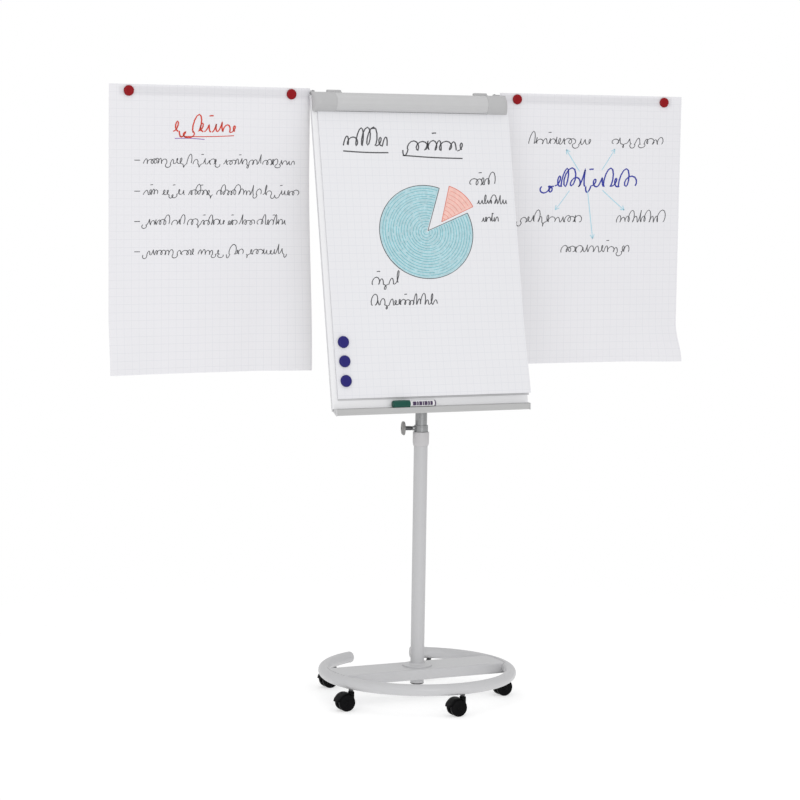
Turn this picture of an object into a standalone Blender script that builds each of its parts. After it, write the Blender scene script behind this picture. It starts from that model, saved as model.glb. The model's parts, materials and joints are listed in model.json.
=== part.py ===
"""Mobile flipchart easel: C-shaped castor base, telescopic mast, magnetic board and side arms.

Frame: metres, +Z up, +X to the viewer's right along the board, +Y to the back.
The origin is on the floor, on the mast's axis. Each object is one physical piece.
"""
import math

import bmesh
import bpy
from mathutils import Matrix, Vector

GAP = 0.0003                # clearance between pieces that touch
TURN_STEPS = 18             # facets around a turned piece

# Base ring, crossbar and mast foot
RING_R = 0.302              # centre line of the ring's tube
RING_TUBE_R = 0.0185
RING_WALL = 0.002
RING_Z = 0.085
RING_HALF_SWEEP = 158.0     # degrees each way from the front
RING_SEGMENTS = 38
CROSSBAR_HALF_LENGTH = 0.290
CROSSBAR_DEPTH = 0.130
CROSSBAR_HEIGHT = 0.0345
CROSSBAR_TOP = 0.1025
CROSSBAR_WALL = 0.0025
FLANGE_R = 0.048
FLANGE_HEIGHT = 0.012

# Mast
MAST_R = 0.0222
MAST_BORE = 0.0206
MAST_BOTTOM = 0.047
MAST_TOP = 0.8648
COLLAR_R = 0.0262
COLLAR_BOTTOM = 0.8190
CLAMP_RING_R = 0.0225
CLAMP_RING_BOTTOM = 0.8655
CLAMP_RING_HEIGHT = 0.0205
KNOB_Z = 0.876
KNOB_R = 0.024
KNOB_REACH = 0.058          # from the mast's axis to the knob's middle
CLAMP_TURN = 15.0           # degrees from -X towards the back
SCREW_R = 0.003
INNER_R = 0.0190
INNER_BORE = 0.0175
INNER_BOTTOM = 0.500

# Castors
CASTOR_ANGLES = (2.4, 74.4, 146.4, -141.6, -69.6)   # degrees from the front
CASTOR_TRAIL_DIRECTION = 182.0   # degrees from +X, the way the wheels trail at rest
CASTOR_TRAIL = 0.0205
WHEEL_R = 0.0275
WHEEL_OUTER_FACE = 0.0204
WHEEL_INNER_FACE = 0.0076
AXLE_R = 0.0035
HOOD_HALF_WEB = 0.0072
HOOD_TOP = 0.061
HOOD_R = 0.0315
STEM_R = 0.004

# Board, in the head's own frame: origin at the top of the front face, Z up the board, Y into it
HEAD_ORIGIN = (0.0, 0.1237, 1.938)
BOARD_TILT = math.radians(11.64)
BOARD_HALF_WIDTH = 0.3465
BOARD_TOP = -0.005
BOARD_BOTTOM = -1.0035
BOARD_THICKNESS = 0.012
PAN_SHEET = 0.0008
PAD_HALF_WIDTH = 0.340
PAD_SHIFT = 0.0115          # the pad hangs a little to the right
PAD_TOP = -0.012
PAD_BOTTOM = -0.972
PAD_BLOCK = 0.0024
SHEET_THICKNESS = 0.0005
STRAP_HEIGHTS = (-0.700, -0.320)
STRAP_WIDTH = 0.040
STRAP_SHEET = 0.003
TUBE_TOP = -0.270

# Pen tray and marker, upright in the object's frame
TRAY_HALF_LENGTH = 0.3405
TRAY_FRONT = -0.1005
TRAY_FLOOR = 0.9538
TRAY_CHANNEL = 0.9520        # the lower strip of floor that runs under the board
TRAY_RIM = 0.956
TRAY_LIP_BOTTOM = 0.936
TRAY_SHEET = 0.002
TRAY_CAP = 0.0035
MARKER_R = 0.0100
MARKER_CAP_R = 0.0120
MARKER_Y = -0.0895
MARKER_START = -0.145
MARKER_CAP_LENGTH = 0.058
MARKER_LENGTH = 0.150

# Pad clamp bar, in the head's frame
BAR_HALF_LENGTH = 0.346
BAR_CAP_LENGTH = 0.077
BAR_END_ROUND = 0.025       # how far from each end the bar's front curves back
BAR_END_DEPTH = 0.0085
BAR_DEPTH = 0.030
BAR_HALF_HEIGHT = 0.031
BAR_CENTRE_Z = -0.027
BAR_WALL = 0.0022
BAR_HINGE = (0.008, 0.003)       # y and z of the hinge axis
BAR_PIN_R = 0.002
EAR_R = 0.0042
EAR_THICKNESS = 0.006
HOOK_X = 0.261
HOOK_HALF_WIDTH = 0.0265

# Side arms and their sheets, upright in the object's frame
ARM_PIVOT_X = 0.325
ARM_PIVOT_Y = 0.1565
ARM_BOTTOM = 1.9205
ARM_TOP = 1.9475
ARM_FRONT = 0.150
ARM_SHEET = 0.003
ARM_END = 0.985
ARM_REST_SWING = 2.2        # degrees each arm stands forward of square at rest
KNUCKLE_R = 0.0065
PIVOT_PIN_R = 0.003
SIDE_SHEET_WIDTH = 0.680
SIDE_SHEET_INNER = {"l": 0.338, "r": 0.342}
SIDE_SHEET_TOP = 1.954
SIDE_SHEET_BOTTOM = 1.061

# Magnets
RED_MAGNET_R = 0.0165
RED_MAGNET_X = (0.404, 0.954)
RED_MAGNET_Z = 1.934
BLUE_MAGNET_R = 0.019
BLUE_MAGNET_X = -0.297
BLUE_MAGNET_HEIGHTS = (-0.793, -0.854, -0.916)
MAGNET_THICKNESS = 0.008

ALONG_X = (math.pi / 2, 0.0, math.pi / 2)   # turns a flat outline's x, y, z to y, z, x


def clear_scene():
    for obj in list(bpy.data.objects):
        bpy.data.objects.remove(obj, do_unlink=True)


def new_collection(name):
    collection = bpy.data.collections.new(name)
    bpy.context.scene.collection.children.link(collection)
    return collection


clear_scene()
PARTS = new_collection("flipchart_easel")
CUTTERS = new_collection("cutters")


def material(name, colour, roughness, metallic=0.0):
    made = bpy.data.materials.new(name)
    made.use_nodes = True
    shader = made.node_tree.nodes["Principled BSDF"]
    shader.inputs["Base Color"].default_value = (*colour, 1.0)
    shader.inputs["Roughness"].default_value = roughness
    shader.inputs["Metallic"].default_value = metallic
    return made


GREY_PAINT = material("grey_paint", (0.60, 0.60, 0.62), 0.35)
ZINC = material("zinc", (0.45, 0.46, 0.47), 0.38, 1.0)
STEEL = material("steel", (0.30, 0.30, 0.31), 0.40, 1.0)
GREY_PLASTIC = material("grey_plastic", (0.44, 0.44, 0.45), 0.50)
KNOB_PLASTIC = material("knob_plastic", (0.28, 0.27, 0.26), 0.55)
BLACK_PLASTIC = material("black_plastic", (0.012, 0.012, 0.013), 0.35)
ALUMINIUM = material("aluminium", (0.55, 0.55, 0.56), 0.42, 0.8)
WHITE_LACQUER = material("white_lacquer", (0.80, 0.80, 0.81), 0.22)
CORE_BOARD = material("core_board", (0.50, 0.50, 0.48), 0.85)
RUBBER = material("rubber", (0.03, 0.03, 0.03), 0.80)
PAPER = material("paper", (0.80, 0.80, 0.82), 0.90)
RED_PLASTIC = material("red_plastic", (0.50, 0.03, 0.03), 0.40)
BLUE_PLASTIC = material("blue_plastic", (0.02, 0.02, 0.22), 0.40)
TEAL_PLASTIC = material("teal_plastic", (0.01, 0.12, 0.09), 0.40)
WHITE_PLASTIC = material("white_plastic", (0.75, 0.75, 0.76), 0.40)


def empty(name, location, rotation=(0.0, 0.0, 0.0), parent=None):
    frame = bpy.data.objects.new(name, None)
    PARTS.objects.link(frame)
    frame.location = location
    frame.rotation_euler = rotation
    frame.parent = parent
    return frame


def finish(obj, look=None, location=(0.0, 0.0, 0.0), rotation=(0.0, 0.0, 0.0), parent=None):
    """Places an object in its parent's frame; without a look it is a cutter."""
    obj.location = location
    obj.rotation_euler = rotation
    obj.parent = parent
    if look is None:
        CUTTERS.objects.link(obj)
        obj.hide_render = True
        obj.display_type = "WIRE"
    else:
        PARTS.objects.link(obj)
        obj.data.materials.append(look)
        obj.data.shade_smooth()
        obj.data.set_sharp_from_angle(angle=math.radians(35.0))
    return obj


def bevel(obj, width, segments=1, angle=30.0):
    rounding = obj.modifiers.new("Round", "BEVEL")
    rounding.width = width
    rounding.segments = segments
    rounding.limit_method = "ANGLE"
    rounding.angle_limit = math.radians(angle)
    return obj


def box(name, low, high, **place):
    """A box between two corners, in its parent's frame."""
    low = Vector(low)
    high = Vector(high)
    mesh = bpy.data.meshes.new(name)
    shape = bmesh.new()
    bmesh.ops.create_cube(shape, size=1.0)
    bmesh.ops.scale(shape, vec=high - low, verts=shape.verts)
    shape.to_mesh(mesh)
    shape.free()
    return finish(bpy.data.objects.new(name, mesh), location=(low + high) / 2, **place)


def rod(name, radius, start, end, sides=TURN_STEPS, **place):
    """A solid cylinder between two points of its parent's frame."""
    start = Vector(start)
    end = Vector(end)
    mesh = bpy.data.meshes.new(name)
    shape = bmesh.new()
    bmesh.ops.create_cone(shape, cap_ends=True, segments=sides, radius1=radius,
                          radius2=radius, depth=(end - start).length)
    shape.to_mesh(mesh)
    shape.free()
    turn = (end - start).to_track_quat("Z", "Y").to_euler()
    return finish(bpy.data.objects.new(name, mesh), location=(start + end) / 2,
                  rotation=turn, **place)


def turned(name, profile, closed=False, steps=TURN_STEPS, **place):
    """Turns a profile of (radius, height) points, which runs down its outer side."""
    mesh = bpy.data.meshes.new(name)
    shape = bmesh.new()
    points = [shape.verts.new((radius, 0.0, height)) for radius, height in profile]
    for upper, lower in zip(points, points[1:]):
        shape.edges.new((upper, lower))
    if closed:
        shape.edges.new((points[-1], points[0]))
    shape.to_mesh(mesh)
    shape.free()
    obj = finish(bpy.data.objects.new(name, mesh), **place)
    screw = obj.modifiers.new("Turn", "SCREW")
    screw.steps = steps
    screw.render_steps = steps
    screw.use_merge_vertices = True
    screw.merge_threshold = 0.00001
    return obj


def sleeve(name, outer, inner, bottom, top, **place):
    """A plain hollow cylinder with small chamfers on its outer edges."""
    edge = min(0.0010, (outer - inner) / 3)
    profile = [(inner, top), (outer - edge, top), (outer, top - edge),
               (outer, bottom + edge), (outer - edge, bottom), (inner, bottom)]
    return turned(name, profile, closed=True, **place)


def outline(name, loops, thickness, **place):
    """A flat outline in the xy plane, with its holes as further loops, given a thickness."""
    curve = bpy.data.curves.new(name, "CURVE")
    curve.dimensions = "2D"
    curve.fill_mode = "BOTH"
    curve.extrude = thickness / 2
    for loop in loops:
        spline = curve.splines.new("POLY")
        spline.points.add(len(loop) - 1)
        for point, (across, up) in zip(spline.points, loop):
            point.co = (across, up, 0.0, 1.0)
        spline.use_cyclic_u = True
    return curve_to_mesh(name, curve, **place)


def curve_to_mesh(name, curve, **place):
    drawn = bpy.data.objects.new(name + "_curve", curve)
    bpy.context.scene.collection.objects.link(drawn)
    graph = bpy.context.evaluated_depsgraph_get()
    mesh = bpy.data.meshes.new_from_object(drawn.evaluated_get(graph))
    mesh.name = name
    bpy.data.objects.remove(drawn, do_unlink=True)
    shape = bmesh.new()
    shape.from_mesh(mesh)
    bmesh.ops.remove_doubles(shape, verts=shape.verts, dist=0.00001)
    bmesh.ops.recalc_face_normals(shape, faces=shape.faces)
    shape.to_mesh(mesh)
    shape.free()
    return finish(bpy.data.objects.new(name, mesh), **place)


def bent_tube(name, path, radius, resolution, **place):
    """A solid round bar along a path of points."""
    curve = bpy.data.curves.new(name, "CURVE")
    curve.dimensions = "3D"
    curve.bevel_depth = radius
    curve.bevel_resolution = resolution
    curve.use_fill_caps = True
    spline = curve.splines.new("POLY")
    spline.points.add(len(path) - 1)
    for point, place_on_path in zip(spline.points, path):
        point.co = (*place_on_path, 1.0)
    return curve_to_mesh(name, curve, **place)


def cut(obj, cutter):
    trim = obj.modifiers.new("Cut", "BOOLEAN")
    trim.operation = "DIFFERENCE"
    trim.solver = "EXACT"
    trim.object = cutter
    return obj


def join(obj, addition):
    weld = obj.modifiers.new("Join", "BOOLEAN")
    weld.operation = "UNION"
    weld.solver = "EXACT"
    weld.object = addition
    return obj


def arc(centre, radii, start, end, count):
    """Points on an ellipse's arc, from one angle in degrees to another."""
    points = []
    for index in range(count + 1):
        angle = math.radians(start + (end - start) * index / count)
        points.append((centre[0] + radii[0] * math.cos(angle),
                       centre[1] + radii[1] * math.sin(angle)))
    return points


def ring_point(angle):
    """A point of the ring's centre line; the angle is in degrees from the front."""
    turn = math.radians(angle)
    return Vector((RING_R * math.sin(turn), -RING_R * math.cos(turn), RING_Z))


def ring_path(extra=0.0):
    sweep = RING_HALF_SWEEP + extra
    step = 2 * RING_HALF_SWEEP / RING_SEGMENTS
    path = [ring_point(-RING_HALF_SWEEP + step * index) for index in range(RING_SEGMENTS + 1)]
    if extra:
        path = [ring_point(-sweep)] + path + [ring_point(sweep)]
    return path


def base_ring():
    ring = bent_tube("base_ring", ring_path(), RING_TUBE_R, 4, look=GREY_PAINT)
    cut(ring, bent_tube("ring_bore", ring_path(2.0), RING_TUBE_R - RING_WALL, 2))
    for index, angle in enumerate(CASTOR_ANGLES, 1):
        foot = ring_point(angle)
        below = foot - Vector((0.0, 0.0, RING_TUBE_R + 0.004))
        cut(ring, rod(f"stem_hole_{index}", STEM_R + GAP, below, foot, sides=16))


def ring_plug(name, side):
    """A moulded plug in one free end of the ring, dome outwards."""
    end = ring_point(side * RING_HALF_SWEEP)
    step = 2 * RING_HALF_SWEEP / RING_SEGMENTS
    outward = (end - ring_point(side * (RING_HALF_SWEEP - step))).normalized()
    spigot = RING_TUBE_R - RING_WALL - 2 * GAP
    rim = RING_TUBE_R - 0.0002
    profile = [(0.0, 0.0058), (0.008, 0.0052), (0.014, 0.0036), (rim - 0.001, 0.0016),
               (rim, GAP), (spigot * 0.95, GAP), (spigot * 0.95, -0.010), (0.0, -0.010)]
    turn = outward.to_track_quat("Z", "Y").to_euler()
    turned(name, profile, look=GREY_PLASTIC, location=end, rotation=turn, steps=16)


def crossbar():
    """A flat hollow section whose ends are coped around the ring's tube."""
    half_depth = CROSSBAR_DEPTH / 2
    bottom = CROSSBAR_TOP - CROSSBAR_HEIGHT
    bar = box("crossbar", (-CROSSBAR_HALF_LENGTH, -half_depth, bottom),
              (CROSSBAR_HALF_LENGTH, half_depth, CROSSBAR_TOP), look=GREY_PAINT)
    bevel(bar, 0.004, 2)
    inside = half_depth - CROSSBAR_WALL
    cut(bar, box("crossbar_bore", (-0.35, -inside, bottom + CROSSBAR_WALL),
                 (0.35, inside, CROSSBAR_TOP - CROSSBAR_WALL)))
    cut(bar, bent_tube("crossbar_cope", ring_path(), RING_TUBE_R + GAP, 4))
    cut(bar, rod("mast_hole", MAST_R + GAP, (0.0, 0.0, 0.04), (0.0, 0.0, 0.13), sides=32))


def mast_foot():
    base = CROSSBAR_TOP + GAP
    bore = MAST_R + GAP
    profile = [(bore, base + FLANGE_HEIGHT), (bore + 0.004, base + FLANGE_HEIGHT),
               (bore + 0.007, base + 0.0055), (FLANGE_R - 0.002, base + 0.0045),
               (FLANGE_R, base + 0.003), (FLANGE_R, base), (bore, base)]
    turned("mast_flange", profile, closed=True, look=GREY_PAINT)
    spigot = MAST_BORE - GAP
    under = MAST_BOTTOM - GAP
    profile = [(0.0, MAST_BOTTOM + 0.012), (spigot, MAST_BOTTOM + 0.012), (spigot, under),
               (MAST_R, under), (MAST_R - 0.002, under - 0.003), (0.0, under - 0.005)]
    turned("mast_foot_plug", profile, look=BLACK_PLASTIC)


def mast():
    sleeve("mast_tube", MAST_R, MAST_BORE, MAST_BOTTOM, MAST_TOP, look=GREY_PAINT)
    bore = MAST_R + GAP
    profile = [(bore, MAST_TOP), (COLLAR_R - 0.002, MAST_TOP), (COLLAR_R, MAST_TOP - 0.002),
               (COLLAR_R, COLLAR_BOTTOM + 0.008), (COLLAR_R - 0.0025, COLLAR_BOTTOM),
               (bore, COLLAR_BOTTOM)]
    turned("mast_collar", profile, closed=True, look=GREY_PLASTIC)
    sleeve("mast_bush", MAST_BORE - GAP, INNER_R + GAP, MAST_TOP - 0.045, MAST_TOP,
           look=BLACK_PLASTIC)


def clamp_axis(name):
    """A frame on the clamp screw's axis; local Z points out of the mast."""
    turn = math.radians(CLAMP_TURN)
    outward = Vector((-math.cos(turn), math.sin(turn), 0.0)).to_track_quat("Z", "Y")
    return empty(name, (0.0, 0.0, KNOB_Z), outward.to_euler())


def clamp_ring():
    """The set ring on the mast's top, with a boss and a threaded hole for the clamp screw."""
    ring = sleeve("clamp_ring", CLAMP_RING_R, INNER_R + 2 * GAP, CLAMP_RING_BOTTOM,
                  CLAMP_RING_BOTTOM + CLAMP_RING_HEIGHT, look=ZINC)
    axis = clamp_axis("clamp_boss_axis")
    join(ring, rod("clamp_boss", 0.0075, (0.0, 0.0, INNER_R + 0.0015), (0.0, 0.0, 0.029),
                   parent=axis))
    cut(ring, rod("clamp_thread", SCREW_R + GAP, (0.0, 0.0, 0.010), (0.0, 0.0, 0.040),
                  parent=axis))


def clamp_knob():
    """Screw and hand knob, turned about the screw's axis."""
    axis = clamp_axis("clamp_axis")
    tip = INNER_R + GAP
    shaft_end = KNOB_REACH + 0.002
    shoulder = KNOB_REACH - 0.006
    profile = [(0.0, shaft_end), (0.0045, shaft_end), (0.0045, shoulder + GAP),
               (0.0068, shoulder), (0.0068, 0.031), (0.0055, 0.0295), (SCREW_R, 0.0295),
               (SCREW_R, tip), (0.0, tip)]
    turned("clamp_screw", profile, look=STEEL, parent=axis)
    low = KNOB_REACH - 0.005
    bore = 0.0045 + GAP
    profile = [(bore, low + 0.0115), (0.008, low + 0.0115), (0.018, low + 0.0095),
               (KNOB_R - 0.0015, low + 0.0065), (KNOB_R, low + 0.0045),
               (KNOB_R - 0.001, low + 0.002), (0.017, low), (bore, low)]
    turned("clamp_knob", profile, closed=True, look=KNOB_PLASTIC, parent=axis)


def castor_stem(index, angle):
    foot = ring_point(angle)
    neck_top = RING_Z - RING_TUBE_R - GAP
    profile = [(0.0, RING_Z - 0.006), (STEM_R, RING_Z - 0.006), (STEM_R, neck_top),
               (0.0080, neck_top), (0.0080, HOOD_TOP + 0.0012), (STEM_R, HOOD_TOP + 0.0012),
               (STEM_R, 0.0445), (0.0, 0.0445)]
    turned(f"castor_stem_{index}", profile, look=STEEL, steps=14,
           location=(foot.x, foot.y, 0.0))


def hood_outline():
    """Side view of the hood's web: over the wheels, with a socket ahead and a tip behind."""
    over = arc((CASTOR_TRAIL, WHEEL_R), (HOOD_R - 0.001, HOOD_R - 0.001), 12.0, 116.0, 6)
    socket_front = -0.0085
    return [(CASTOR_TRAIL + 0.0355, WHEEL_R + 0.0035)] + over + [
        (0.0075, HOOD_TOP), (socket_front + 0.002, HOOD_TOP), (socket_front, HOOD_TOP - 0.002),
        (socket_front, WHEEL_R + 0.012), (socket_front + 0.006, WHEEL_R - 0.004),
        (CASTOR_TRAIL - 0.010, WHEEL_R - 0.014), (CASTOR_TRAIL + 0.010, WHEEL_R - 0.014)]


def fender_outline():
    """Side view of the curved cover above the wheels."""
    centre = (CASTOR_TRAIL, WHEEL_R)
    inner = WHEEL_R + 0.0013
    outside = arc(centre, (HOOD_R, HOOD_R), 12.0, 128.0, 8)
    inside = arc(centre, (inner, inner), 128.0, 2.0, 9)
    return [(CASTOR_TRAIL + 0.0360, WHEEL_R + 0.0035)] + outside + inside


def castor(index, angle):
    """Hood and twin wheels, in a frame on the swivel axis that trails along its own X."""
    foot = ring_point(angle)
    trail = math.radians(CASTOR_TRAIL_DIRECTION)
    swivel = empty(f"castor_swivel_{index}", (foot.x, foot.y, 0.0), (0.0, 0.0, trail))
    flat = (math.pi / 2, 0.0, 0.0)
    hood = outline(f"castor_hood_{index}", [hood_outline()], 2 * HOOD_HALF_WEB,
                   rotation=flat, parent=swivel, look=BLACK_PLASTIC)
    join(hood, outline(f"fender_{index}", [fender_outline()], 2 * WHEEL_OUTER_FACE,
                       rotation=flat, parent=swivel))
    cut(hood, rod(f"socket_{index}", STEM_R + GAP, (0.0, 0.0, 0.0440), (0.0, 0.0, 0.070),
                  sides=16, parent=swivel))
    cut(hood, rod(f"axle_hole_{index}", AXLE_R + GAP, (CASTOR_TRAIL, -0.012, WHEEL_R),
                  (CASTOR_TRAIL, 0.012, WHEEL_R), sides=16, parent=swivel))
    axle = empty(f"castor_axle_{index}", (CASTOR_TRAIL, 0.0, WHEEL_R), (math.pi / 2, 0.0, 0.0),
                 parent=swivel)
    half = [(0.0, WHEEL_OUTER_FACE), (0.0075, WHEEL_OUTER_FACE),
            (0.0090, WHEEL_OUTER_FACE - 0.0016), (WHEEL_R - 0.0012, WHEEL_OUTER_FACE - 0.0006),
            (WHEEL_R, WHEEL_OUTER_FACE - 0.0019), (WHEEL_R, WHEEL_INNER_FACE),
            (AXLE_R, WHEEL_INNER_FACE)]
    other = [(radius, -height) for radius, height in reversed(half)]
    turned(f"castor_wheels_{index}", half + other, steps=16, parent=axle, look=BLACK_PLASTIC)


def head_point(across, back, up):
    """A point of the head's tilted frame, in the object's frame."""
    tilted = Matrix.Rotation(-BOARD_TILT, 3, "X") @ Vector((across, back, up))
    return Vector(HEAD_ORIGIN) + tilted


def tube_path():
    """The inner tube: upright in the mast, one gentle bend, then up along the board's back."""
    back = BOARD_THICKNESS + GAP + INNER_R
    lower = head_point(0.0, back, TUBE_TOP)
    along = head_point(0.0, back, 0.0) - head_point(0.0, back, -1.0)
    bend_z = lower.z - lower.y * along.z / along.y
    tangent = 0.010
    corner = Vector((0.0, 0.0, bend_z))
    path = [Vector((0.0, 0.0, INNER_BOTTOM))]
    count = 4
    for index in range(count + 1):
        share = index / count
        start = corner - Vector((0.0, 0.0, tangent * (1 - share) ** 2))
        path.append(start + along * tangent * share ** 2)
    path.append(lower)
    return path


def inner_mast():
    path = tube_path()
    tube = bent_tube("inner_tube", path, INNER_R, 6, look=ZINC)
    below = path[0] - Vector((0.0, 0.0, 0.01))
    above = path[-1] + (path[-1] - path[-2]).normalized() * 0.01
    cut(tube, bent_tube("inner_tube_bore", [below] + path[1:-1] + [above], INNER_BORE, 4))
    spigot = INNER_BORE - 0.0006
    rim = MAST_BORE - GAP
    low = INNER_BOTTOM - GAP
    profile = [(0.010, low + 0.018), (spigot, low + 0.018), (spigot, low), (rim, low),
               (rim, low - 0.010), (rim - 0.001, low - 0.011), (0.010, low - 0.011)]
    turned("inner_glide", profile, closed=True, look=BLACK_PLASTIC)


def strap_outline():
    """A hat section around the inner tube, seen along the board; y is into the board's back."""
    face = BOARD_THICKNESS + GAP
    centre = (0.0, face + INNER_R)
    inner = INNER_R + GAP
    outer = inner + STRAP_SHEET
    foot = 0.055
    outside = arc(centre, (outer, outer), 0.0, 180.0, 12)
    inside = arc(centre, (inner, inner), 180.0, 0.0, 12)
    return ([(inner, face), (foot, face), (foot, face + STRAP_SHEET), (outer, face + STRAP_SHEET)]
            + outside + [(-outer, face + STRAP_SHEET), (-foot, face + STRAP_SHEET), (-foot, face),
                         (-inner, face)] + inside)


def board(head):
    depth = BOARD_THICKNESS
    pan = box("board_face", (-BOARD_HALF_WIDTH, 0.0, BOARD_BOTTOM),
              (BOARD_HALF_WIDTH, depth, BOARD_TOP), look=WHITE_LACQUER, parent=head)
    side = PAN_SHEET
    cut(pan, box("pan_inside", (-BOARD_HALF_WIDTH + side, side, BOARD_BOTTOM + side),
                 (BOARD_HALF_WIDTH - side, depth + 0.01, BOARD_TOP - side), parent=head))
    inset = PAN_SHEET + GAP
    box("board_core", (-BOARD_HALF_WIDTH + inset, inset, BOARD_BOTTOM + inset),
        (BOARD_HALF_WIDTH - inset, depth, BOARD_TOP - inset), look=CORE_BOARD, parent=head)
    for name, height in zip(("lower_strap", "upper_strap"), STRAP_HEIGHTS):
        outline(name, [strap_outline()], STRAP_WIDTH, location=(0.0, 0.0, height),
                look=GREY_PAINT, parent=head)


def pad(head):
    left = PAD_SHIFT - PAD_HALF_WIDTH
    right = PAD_SHIFT + PAD_HALF_WIDTH
    block_front = -GAP - PAD_BLOCK
    box("pad_block", (left, block_front, PAD_BOTTOM), (right, -GAP, PAD_TOP),
        look=PAPER, parent=head)
    sheet_front = block_front - GAP - SHEET_THICKNESS
    box("top_sheet", (left, sheet_front, PAD_BOTTOM), (right, block_front - GAP, PAD_TOP),
        look=PAPER, parent=head)
    return sheet_front


def magnet_profile(radius):
    return [(0.0, MAGNET_THICKNESS), (radius * 0.80, MAGNET_THICKNESS),
            (radius, MAGNET_THICKNESS - 0.003), (radius, 0.0), (0.0, 0.0)]


def board_magnets(head, sheet_front):
    face_out = (math.pi / 2, 0.0, 0.0)
    for index, height in enumerate(BLUE_MAGNET_HEIGHTS, 1):
        turned(f"board_magnet_{index}", magnet_profile(BLUE_MAGNET_R), look=BLUE_PLASTIC,
               location=(BLUE_MAGNET_X, sheet_front - GAP, height), rotation=face_out, parent=head)


def tray_foot(up=0.0):
    """A point of the board's back just above its bottom edge, where the tray's flange lies."""
    return head_point(0.0, BOARD_THICKNESS + GAP, BOARD_BOTTOM + up)


def tray_outline():
    """Section of the pen tray: lip, floor, a channel for the board's edge and a back flange."""
    under = TRAY_FLOOR - TRAY_SHEET
    below = TRAY_CHANNEL - TRAY_SHEET
    lip = TRAY_FRONT + TRAY_SHEET
    foot = tray_foot()
    top = tray_foot(0.028)
    slope = (top.y - foot.y) / (top.z - foot.z)
    start = foot.y + slope * (TRAY_CHANNEL - foot.z)
    step = foot.y - 0.0130
    return [(TRAY_FRONT, TRAY_LIP_BOTTOM), (TRAY_FRONT + 0.006, TRAY_LIP_BOTTOM),
            (TRAY_FRONT + 0.006, TRAY_LIP_BOTTOM + 0.0015), (lip, TRAY_LIP_BOTTOM + 0.0015),
            (lip, under), (step - TRAY_SHEET, under), (step - TRAY_SHEET, below),
            (start + TRAY_SHEET, below), (top.y + TRAY_SHEET, top.z), (top.y, top.z),
            (start, TRAY_CHANNEL), (step, TRAY_CHANNEL), (step, TRAY_FLOOR), (lip, TRAY_FLOOR),
            (lip, TRAY_RIM), (TRAY_FRONT, TRAY_RIM)]


def tray_cap_outline():
    """Side view of an end cap: it closes the tray's end and stays under the board's bottom edge."""
    foot = tray_foot()
    edge = 0.0012
    front = TRAY_FRONT - edge
    low = foot.z - 0.0008
    return [(front + 0.002, TRAY_LIP_BOTTOM - edge), (foot.y - 0.010, TRAY_LIP_BOTTOM + 0.010),
            (foot.y + 0.003, TRAY_CHANNEL - 0.005), (foot.y + 0.003, low),
            (foot.y - 0.0130, low), (foot.y - 0.0135, TRAY_RIM + edge),
            (front + 0.002, TRAY_RIM + edge), (front, TRAY_RIM), (front, TRAY_LIP_BOTTOM + 0.001)]


def pen_tray():
    outline("pen_tray", [tray_outline()], 2 * TRAY_HALF_LENGTH, rotation=ALONG_X, look=ALUMINIUM)
    for name, side in (("tray_cap_l", -1), ("tray_cap_r", 1)):
        middle = side * (TRAY_HALF_LENGTH + GAP + TRAY_CAP / 2)
        outline(name, [tray_cap_outline()], TRAY_CAP, location=(middle, 0.0, 0.0),
                rotation=ALONG_X, look=GREY_PLASTIC)


def marker():
    """A felt marker that lies in the tray, its cap to the left; turned about local Z."""
    height = TRAY_FLOOR + GAP + MARKER_CAP_R
    axis = empty("marker_axis", (MARKER_START, MARKER_Y, height), (0.0, math.pi / 2, 0.0))
    end = MARKER_LENGTH
    joint = MARKER_CAP_LENGTH
    profile = [(0.0, end), (MARKER_R - 0.002, end), (MARKER_R, end - 0.002),
               (MARKER_R, joint + 0.004), (MARKER_R + 0.0012, joint + 0.003),
               (MARKER_R + 0.0012, joint + GAP),
               (0.0065, joint + GAP), (0.0060, joint - 0.022), (0.0028, joint - 0.028),
               (0.0020, joint - 0.038), (0.0, joint - 0.040)]
    turned("marker_barrel", profile, look=WHITE_PLASTIC, parent=axis)
    profile = [(0.0, 0.004), (0.0068, 0.010), (0.0068, joint), (MARKER_CAP_R, joint),
               (MARKER_CAP_R, 0.006), (MARKER_CAP_R - 0.003, 0.0), (0.0, 0.0)]
    turned("marker_cap", profile, look=TEAL_PLASTIC, parent=axis)


def bar_arc(grow, start, end, count):
    """An arc of the bar's section; 90 degrees is the top and 270 the bottom."""
    return arc((0.0, BAR_CENTRE_Z), (BAR_DEPTH + grow, BAR_HALF_HEIGHT + grow), start, end, count)


def clamp_bar(bar):
    """The bar's pieces, in a frame on the hinge axis that is parallel to the head's own."""
    shift = (0.0, -BAR_HINGE[0], -BAR_HINGE[1])
    section = bar_arc(0.0, 94.0, 253.0, 16) + bar_arc(-BAR_WALL, 252.0, 94.5, 16)
    length = 2 * (BAR_HALF_LENGTH - BAR_CAP_LENGTH)
    outline("clamp_bar", [section], length - 2 * GAP, location=shift, rotation=ALONG_X,
            look=ALUMINIUM, parent=bar)
    box("grip_strip", (-length / 2 + GAP, -0.0081, -0.0568), (length / 2 - GAP, -0.0039, -0.0500),
        look=RUBBER, parent=empty("grip_frame", shift, parent=bar))
    for name, side in (("bar_cap_l", -1), ("bar_cap_r", 1)):
        bar_cap(name, side, bar, shift)


def bar_end_outline(side):
    """What is cut off a cap, seen from above: outside the curve of the bar's rounded end."""
    start = BAR_HALF_LENGTH - BAR_END_ROUND
    full = BAR_DEPTH + 0.0012
    curve = arc((start, -BAR_END_DEPTH), (BAR_END_ROUND, full - BAR_END_DEPTH), 270.0, 360.0, 8)
    beyond = BAR_HALF_LENGTH + 0.005
    loop = curve + [(beyond, -BAR_END_DEPTH), (beyond, -full - 0.005), (start, -full - 0.005)]
    return [(side * across, back) for across, back in loop]


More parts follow.
